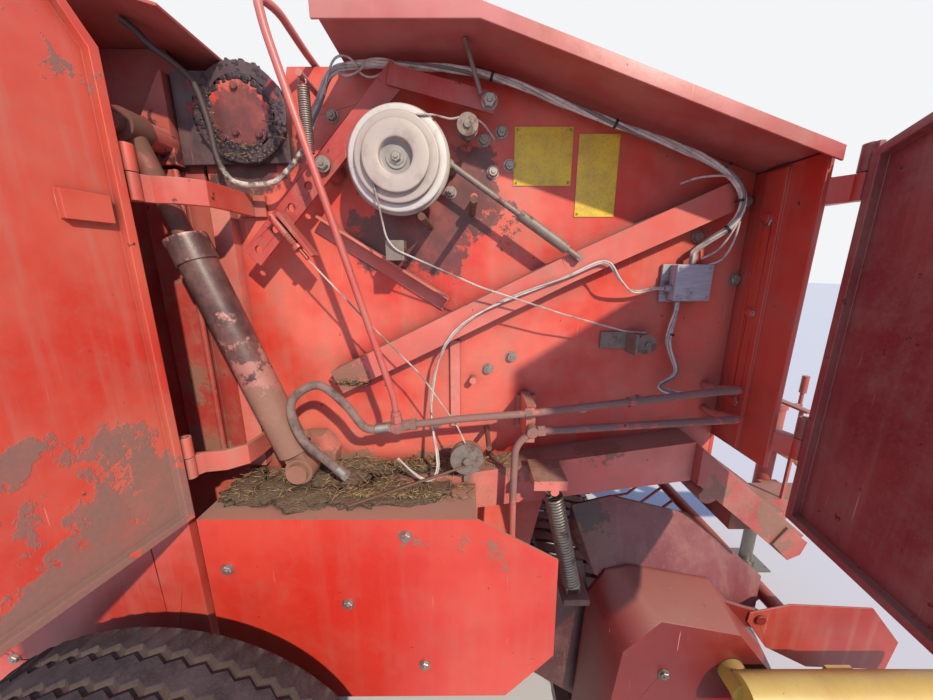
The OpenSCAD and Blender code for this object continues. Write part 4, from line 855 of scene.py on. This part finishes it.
fitting(shape, (433.6, -716, 1162), (408, -718, 1159), [(12.5, -6, 6, 6), (11, 6, 34, 24)])
fitting(shape, (330, -735, 1060), (318, -738, 1075), [(12.5, -8, 3, 6), (11.3, 3, 24, 24)])
ferrules = creased(mesh_piece("hose_ferrules", shape), zinc)
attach(ferrules, "frame")


# Junction box: a grey cast lid on a body of the same stuff, screwed to a plate on the wall.
# The wires go in through a gland on its left and under its upper edge.
def rounded_box(shape, low, high, edge, segments=3):
    """A box between two corners given in millimetres, with its edges rounded."""
    a, b = place(*low), place(*high)
    size = Matrix.Diagonal((*(abs(q - p) for p, q in zip(a, b)), 1))
    made = bmesh.ops.create_cube(shape, size=1, matrix=Matrix.Translation((a + b) / 2) @ size)
    edges = dict.fromkeys(e for v in made["verts"] for e in v.link_edges)
    bmesh.ops.bevel(shape, geom=list(edges), offset=edge / 1000, segments=segments,
                    profile=0.5, affect="EDGES", material=-1)


# Dull light grey with faint level streaks, and brown where dirt has rubbed in
grey_box, t, spot = new_finish("chalky grey cast aluminium")
streak = blotches(t, spot, (33.333, 33.333, 2.381), 0.35, 0.7, detail=4, rough=0.5,
                  soft=False)
skin = node(t, "MixRGB", {0: streak, 1: colour("#a9a8ad"), 2: colour("#c2c1c4")})
worn = blotches(t, spot, 26.316, 0.54, 0.68, 0.8, detail=9, rough=0.72)
skin = node(t, "MixRGB", {0: worn, 1: skin, 2: colour("#8b7a74")})
# Painted shade: darker in the corners where the lid, body and plate meet
surface(t, shade_and_dirt_in_corners(t, skin, 30, 0.8, 0.3, 0.85, "#5d4740"), 0.7)
shape = bmesh.new()
rounded_box(shape, (1028, -617, 1420), (1120, -608.3, 1502), 1.0, 1)
rounded_box(shape, (1043, -640, 1425), (1119, -616, 1500), 3.0)
rounded_box(shape, (1042, -648, 1424), (1120, -641, 1501), 2.5)
for x in (1049, 1113):
    for z in (1431, 1494):
        bolt(shape, x, -647.4, z, radius=3, head=2.4, washer=3.6)
fitting(shape, (1043, -630, 1450), (1023, -630, 1450), [(9, -1, 6, 6), (6.5, 6, 13, 20)])
fitting(shape, (1060, -632, 1426), (1060, -632, 1410), [(9, -1, 4, 6)])
fitting(shape, (1082, -632, 1499), (1082, -632, 1515), [(10, -1, 3, 6)])
box = creased(mesh_piece("junction_box_cast", shape), grey_box)
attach(box, "frame")
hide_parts("junction_box")

# Yellow plates: two thin steel sheets under yellow film, riveted to the wall.
# They are bare, and their film is stained.

# Half-glossy warm yellow, with brown specks where the film has let dirt in
plate_yellow, t, spot = new_finish("stained yellow film on sheet steel")
stain = blotches(t, spot, 58.824, 0.36, 0.66, detail=9)
film = node(t, "MixRGB", {0: stain, 1: colour("#ffdc4e"), 2: colour("#e3c255")})
speck = blotches(t, spot, 3.8462, 0.5, 0.75, 0.6, detail=4, soft=False)
film = node(t, "MixRGB", {0: speck, 1: film, 2: colour("#a3894a")})
surface(t, film, 0.55, (0.2, 1, stain))
shape = bmesh.new()
rounded_box(shape, (693, -609.8, 1663), (814, -608.2, 1775), 0.7, 2)
rounded_box(shape, (826, -609.8, 1601), (911, -608.2, 1762), 0.7, 2)
for x, z in ((699, 1669), (808, 1669), (699, 1769), (808, 1769), (832, 1607), (905, 1756)):
    bolt(shape, x, -609.4, z, radius=2.5, head=1.6, washer=3.2)
plates = creased(mesh_piece("bare_yellow_plates", shape), plate_yellow)
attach(plates, "frame")


# Chaff, straw and grease that the work leaves behind.
# Chaff lies on the ledge at the ram's foot and on the beam, grease clings round the tailgate's hub.
def lumps(name, spots, rough=0.3, fine=4):
    """Uneven heaps, each given by its middle and half its size in millimetres."""
    shape = bmesh.new()
    for x, y, z, a, b, c in spots:
        made = bmesh.ops.create_icosphere(shape, subdivisions=fine, radius=1.0)
        for v in made["verts"]:
            n = noise.fractal(v.co * 2.6 + Vector((x, y, z)) * 0.013, 0.9, 2.1, 6)
            v.co = place(x, y, z) + Vector((v.co.x * a, v.co.y * b, v.co.z * c)) * (
                (1 + rough * n) / 1000)
    return mesh_piece(name, shape)


SWEPT_BY_DOORS = -734


def straws(name, spots, count, seed, long=(14, 46), thick=0.8):
    """Stalks strewn in flat heaps, each given by its middle and half its size in millimetres."""
    rng = random.Random(seed)
    shape = bmesh.new()
    for _ in range(count):
        x, y, z, a, b, c = rng.choice(spots)
        # Past here the doors, when they close, sweep the ledge clean
        where = place(x + a * rng.uniform(-1, 1),
                      max(y + b * rng.uniform(-1, 1), SWEPT_BY_DOORS),
                      z + c * rng.uniform(0.1, 1))
        turn = Matrix.Rotation(rng.uniform(0, 6.28), 4, "Z") @ Matrix.Rotation(
            math.radians(90 + rng.uniform(-28, 28)), 4, "X")
        bmesh.ops.create_cone(shape, cap_ends=True, segments=4, radius1=thick / 1000,
                              radius2=thick * 0.5 / 1000, depth=rng.uniform(*long) / 1000,
                              matrix=Matrix.Translation(where) @ turn)
    return mesh_piece(name, shape)


# Matt grey-brown flakes that lie every way, with dark gaps between them
chaff, t, spot = new_finish("dry chaff and soil")
FLAKE = (6.6667, 2.381, 3.8462)
SOIL_GRAIN = 4.7619
lying = node(t, "Mapping", {0: spot, 2: (0.4, 0.5, 0.7), 3: [1000 / size for size in FLAKE]})
flake = node(t, "TexVoronoi", {"Vector": lying, "Scale": 1.0})
fine = node(t, "TexNoise", {"Vector": spot, "Scale": 1000 / SOIL_GRAIN, "Detail": 5,
                            "Roughness": 0.7})
heap = node(t, "MixRGB", {0: flake.outputs["Distance"], 1: colour("#8f7a60"),
                          2: colour("#4a3b31")})
heap = node(t, "MixRGB", {0: node(t, "MapRange", {0: fine, 1: 0.42, 2: 0.66}), 1: heap,
                          2: colour("#776450")})
# Painted shade: darker in the hollows of the heaps and where they meet the ledge
heap = shade_and_dirt_in_corners(t, heap, 20, 0.8, 0.2, 0.8, "#3a2c26")
surface(t, heap, 0.95, (0.9, 4, node(t, "Math", {0: fine, 1: flake.outputs["Distance"]},
                                     operation="ADD")))

# Dull gold to brown stalks, which have lost their gloss in the weather
stalk, t, spot = new_finish("dry straw")
tint = blotches(t, spot, 11.111, 0.35, 0.65, detail=2, rough=0.5, soft=False)
surface(t, node(t, "MixRGB", {0: tint, 1: colour("#7a6546"), 2: colour("#b89f72")}), 0.8)

# Nearly black with a soft gloss, and lumpy with the dust it has taken up
grease, t, spot = new_finish("old black grease")
LUMP = 8.3333
lump = node(t, "TexNoise", {"Vector": spot, "Scale": 1000 / LUMP, "Detail": 7, "Roughness": 0.7})
lump_tone = node(t, "MixRGB", {0: node(t, "MapRange", {0: lump, 1: 0.45, 2: 0.72}),
                               1: colour("#33272c"), 2: colour("#54444b")})
surface(t, lump_tone, 0.45, (0.5, 2, lump))

heaps = [(205, -668, 1003, 34, 44, 26), (262, -676, 1004, 52, 40, 24), (318, -670, 1003, 40, 36, 22),
         (160, -700, 1001, 46, 60, 17), (240, -730, 1001, 70, 46, 13), (345, -730, 1001, 66, 40, 7),
         (240, -640, 1012, 60, 24, 26), (310, -634, 1010, 60, 22, 22), (400, -636, 1014, 70, 20, 12),
         (470, -640, 1018, 50, 20, 10), (560, -648, 1024, 40, 28, 8), (330, -640, 1240, 40, 18, 9),
         (130, -738, 1001, 60, 22, 8), (90, -700, 1001, 40, 60, 12), (420, -700, 1000, 60, 50, 9),
         (500, -700, 1000, 60, 40, 7), (270, -740, 1000, 90, 20, 6), (420, -740, 1000, 90, 20, 5)]
ground_in = finish_with(lumps("chaff_heaps", heaps, 0.45), chaff)
strewn = finish_with(straws("straw_on_ledge", [(x, y, z + 2, a, b, c + 4)
                                               for x, y, z, a, b, c in heaps]
                            + [(300, -745, 1000, 150, 40, 6), (520, -730, 1000, 90, 50, 4),
                               (640, -650, 1040, 80, 24, 6)], 1100, 11), stalk)
for piece in (ground_in, strewn):
    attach(piece, "frame")

# The hub's middle along X and Z, the ring round its cap, and the faces that the grease clings to
HUB = (149.9, 1789.4)
RING = (59, 89)
RING_FACE = -636
CAP_FACE = -634
PLATE_FACE = -620
rng = random.Random(3)
dabs, sticking = [], []
for k in range(420):
    angle, r = rng.uniform(0, 2 * math.pi), rng.uniform(*RING)
    x, z = HUB[0] + r * math.cos(angle), HUB[1] + r * math.sin(angle)
    low = z < HUB[1] - 10 or x < HUB[0] - 50
    half = rng.uniform(2, 8)
    dabs.append((x, RING_FACE, z, half, rng.uniform(0.6, 2.6 if low else 1.5),
                 half * rng.uniform(0.6, 1.1)))
    if low and k % 5 == 0:
        sticking.append((x, RING_FACE - 3, z, 12, 3, 10))
for k in range(300):
    x, z = rng.uniform(20, 226), rng.uniform(1704, 1735 if k % 3 else 1858)
    if math.hypot(x - HUB[0], z - HUB[1]) > RING[1] + 5:
        half = rng.uniform(2, 8)
        dabs.append((x, PLATE_FACE, z, half, rng.uniform(0.6, 2.2),
                     half * rng.uniform(0.6, 1.1)))
for x, z, r in ((110, 1750, 9), (140, 1740, 12), (172, 1746, 9), (126, 1758, 7)):
    dabs.append((x, CAP_FACE, z, r, 2, 0.6 * r))
hub_grease = finish_with(lumps("hub_grease", dabs, 0.5, 2), grease)
hub_straw = finish_with(straws("hub_straw", sticking, 60, 8, (8, 24), 0.6), stalk)
for piece in (hub_grease, hub_straw):
    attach(piece, "tailgate")

# Small rigging: stub tubes, a thin rod, the peg that holds a twine, cable ties and loose wire ends.
# The bare steel ones are rusted, the ties are nylon.
shape = bmesh.new()
for x, z in ((516, 1580), (607, 1608)):
    fitting(shape, (x, -609, z), (x, -765, z), [(6.5, 0, 156, 20)])
fitting(shape, (594, -716, 1068), (345, -765, 1004), [(3, 0, 262, 12)])
fitting(shape, (644, -609, 1108), (644, -712, 1108), [(6, 0, 103, 20)])
thin_bars = creased(mesh_piece("stub_tubes", shape), rusty_steel)
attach(thin_bars, "frame")

# Even black with a faint sheen, as it leaves the mould
nylon, t, spot = new_finish("black nylon")
surface(t, colour("#221e21"), 0.5)
shape = bmesh.new()
for start, end, reach in (((1103, -661, 1690), (1128, -665, 1655), 8.4),
                          ((1137, -666, 1626), (1138, -666, 1600), 8.4),
                          ((1128, -660, 1572), (1110, -652, 1556), 8.4),
                          ((640, -650, 1846), (700, -650, 1828), 8.4),
                          ((880, -651, 1766), (930, -652, 1749), 8.4),
                          ((1055, -635, 1350), (1052, -636, 1336), 7.2)):
    fitting(shape, start, end, [(reach, 0, 5, 20)])
ties = creased(mesh_piece("cable_ties", shape), nylon)
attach(ties, "frame")

loose_ends = [
    [[322, -650, 1812], [336, -660, 1842], [352, -664, 1866], [372, -662, 1872], [388, -658, 1862],
     [398, -656, 1846], [420, -654, 1842], [452, -652, 1858]],
    [[352, -652, 1850], [372, -658, 1842], [396, -660, 1850], [410, -656, 1868], [440, -652, 1872],
     [470, -650, 1864]],
    [[1127, -664, 1660], [1100, -668, 1668], [1066, -666, 1668], [1040, -662, 1664],
     [1018, -660, 1656]],
    [[1092, -642, 1512], [1118, -652, 1530], [1132, -662, 1560], [1140, -668, 1590]],
    [[1112, -642, 1501], [1132, -650, 1512], [1142, -660, 1545], [1142, -668, 1585]]]
loose = swept("loose_wires", [evenly([place(*q) for q in through(way, 6)], 0.006)
                              for way in loose_ends], 0.0021, 2)
shade = loose.data.attributes.new("shade", "FLOAT", "POINT")
shade.data.foreach_set("value", [0.9 if v % 3 else 0.7 for v in range(len(loose.data.vertices))])
finish_with(loose, wire)
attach(loose, "frame")

# Road tyres: ribbed implement tyres of black rubber, worn grey and brown by dry soil.
# The ribs of the tread zigzag round the crown, and the shoulders are notched.

# Matt near-black, greyed in clouds, with brown soil in the grooves
rubber, t, spot = new_finish("weathered tyre rubber")
RUBBER_GRAIN = 4.1667
soil = blotches(t, spot, 71.429, 0.4, 0.68, 0.75, detail=9)
hide = node(t, "MixRGB", {0: soil, 1: colour("#262428"), 2: colour("#4b4146")})
grain = node(t, "TexNoise", {"Vector": spot, "Scale": 1000 / RUBBER_GRAIN, "Detail": 5,
                             "Roughness": 0.7})
hide = node(t, "MixRGB", {0: node(t, "MapRange", {0: grain, 1: 0.5, 2: 0.78, 4: 0.4}), 1: hide,
                          2: colour("#6d6062")})
hide = shade_and_dirt_in_corners(t, hide, 20, 0.85, 0.3, 0.7, "#6b5446")
surface(t, hide, 0.8, (0.4, 1.5, grain))
for name in ("gauge_wheel_right", "gauge_wheel_left"):
    softened(name, rubber, 3)

TYRE_R, RIM_R, TYRE_W, WHEEL_Y = 422.5, 200.0, 290.0, 1005.0
GROOVE = TYRE_R - 10
ZIGZAGS = 66
ZIGZAG_SWING = 5.5
NOTCH_DEPTH = 9
RIBBED_HALF = 90
flank = [(RIM_R + a * (TYRE_R - RIM_R), b * TYRE_W) for a, b in (
    (-0.036, 0.345), (0.0, 0.374), (0.054, 0.407), (0.10, 0.428), (0.18, 0.455), (0.27, 0.476),
    (0.40, 0.493), (0.54, 0.5), (0.66, 0.494), (0.70, 0.497), (0.72, 0.491), (0.764, 0.483),
    (0.84, 0.466), (0.9, 0.441), (0.955, 0.412), (0.986, 0.386), (1.0, 0.345))]
ribs = [(TYRE_R, 78), (GROOVE, 74), (GROOVE, 64), (TYRE_R, 60), (TYRE_R, 43), (TYRE_R, 26),
        (GROOVE, 22), (GROOVE, 12), (TYRE_R, 8)]
half = flank + ribs
for side, tyre, body in ((-1, "tyre_right", "wheel_r"), (1, "tyre_left", "wheel_l")):
    shape = turned([(r, side * WHEEL_Y + y) for r, y in half]
                   + [(r, side * WHEEL_Y - y) for r, y in reversed(half)],
                   (0, TYRE_R), steps=4 * ZIGZAGS)
    hub = place(0, side * WHEEL_Y, TYRE_R)
    for v in shape.verts:
        off = (v.co - hub) * 1000
        r = math.hypot(off.x, off.z)
        turn = (math.atan2(off.z, off.x) / (2 * math.pi) * ZIGZAGS + 0.001) % 1
        if r > GROOVE - 2 and abs(off.y) < RIBBED_HALF:
            v.co.y += (abs(turn * 4 - 2) - 1) * ZIGZAG_SWING / 1000
        elif r > GROOVE + 2 and turn < 0.26:
            v.co -= Vector((off.x, 0, off.z)).normalized() * NOTCH_DEPTH / 1000
    tread = creased(mesh_piece(tyre + "_tread", shape), rubber, 32)
    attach(tread, body)
    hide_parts(tyre)
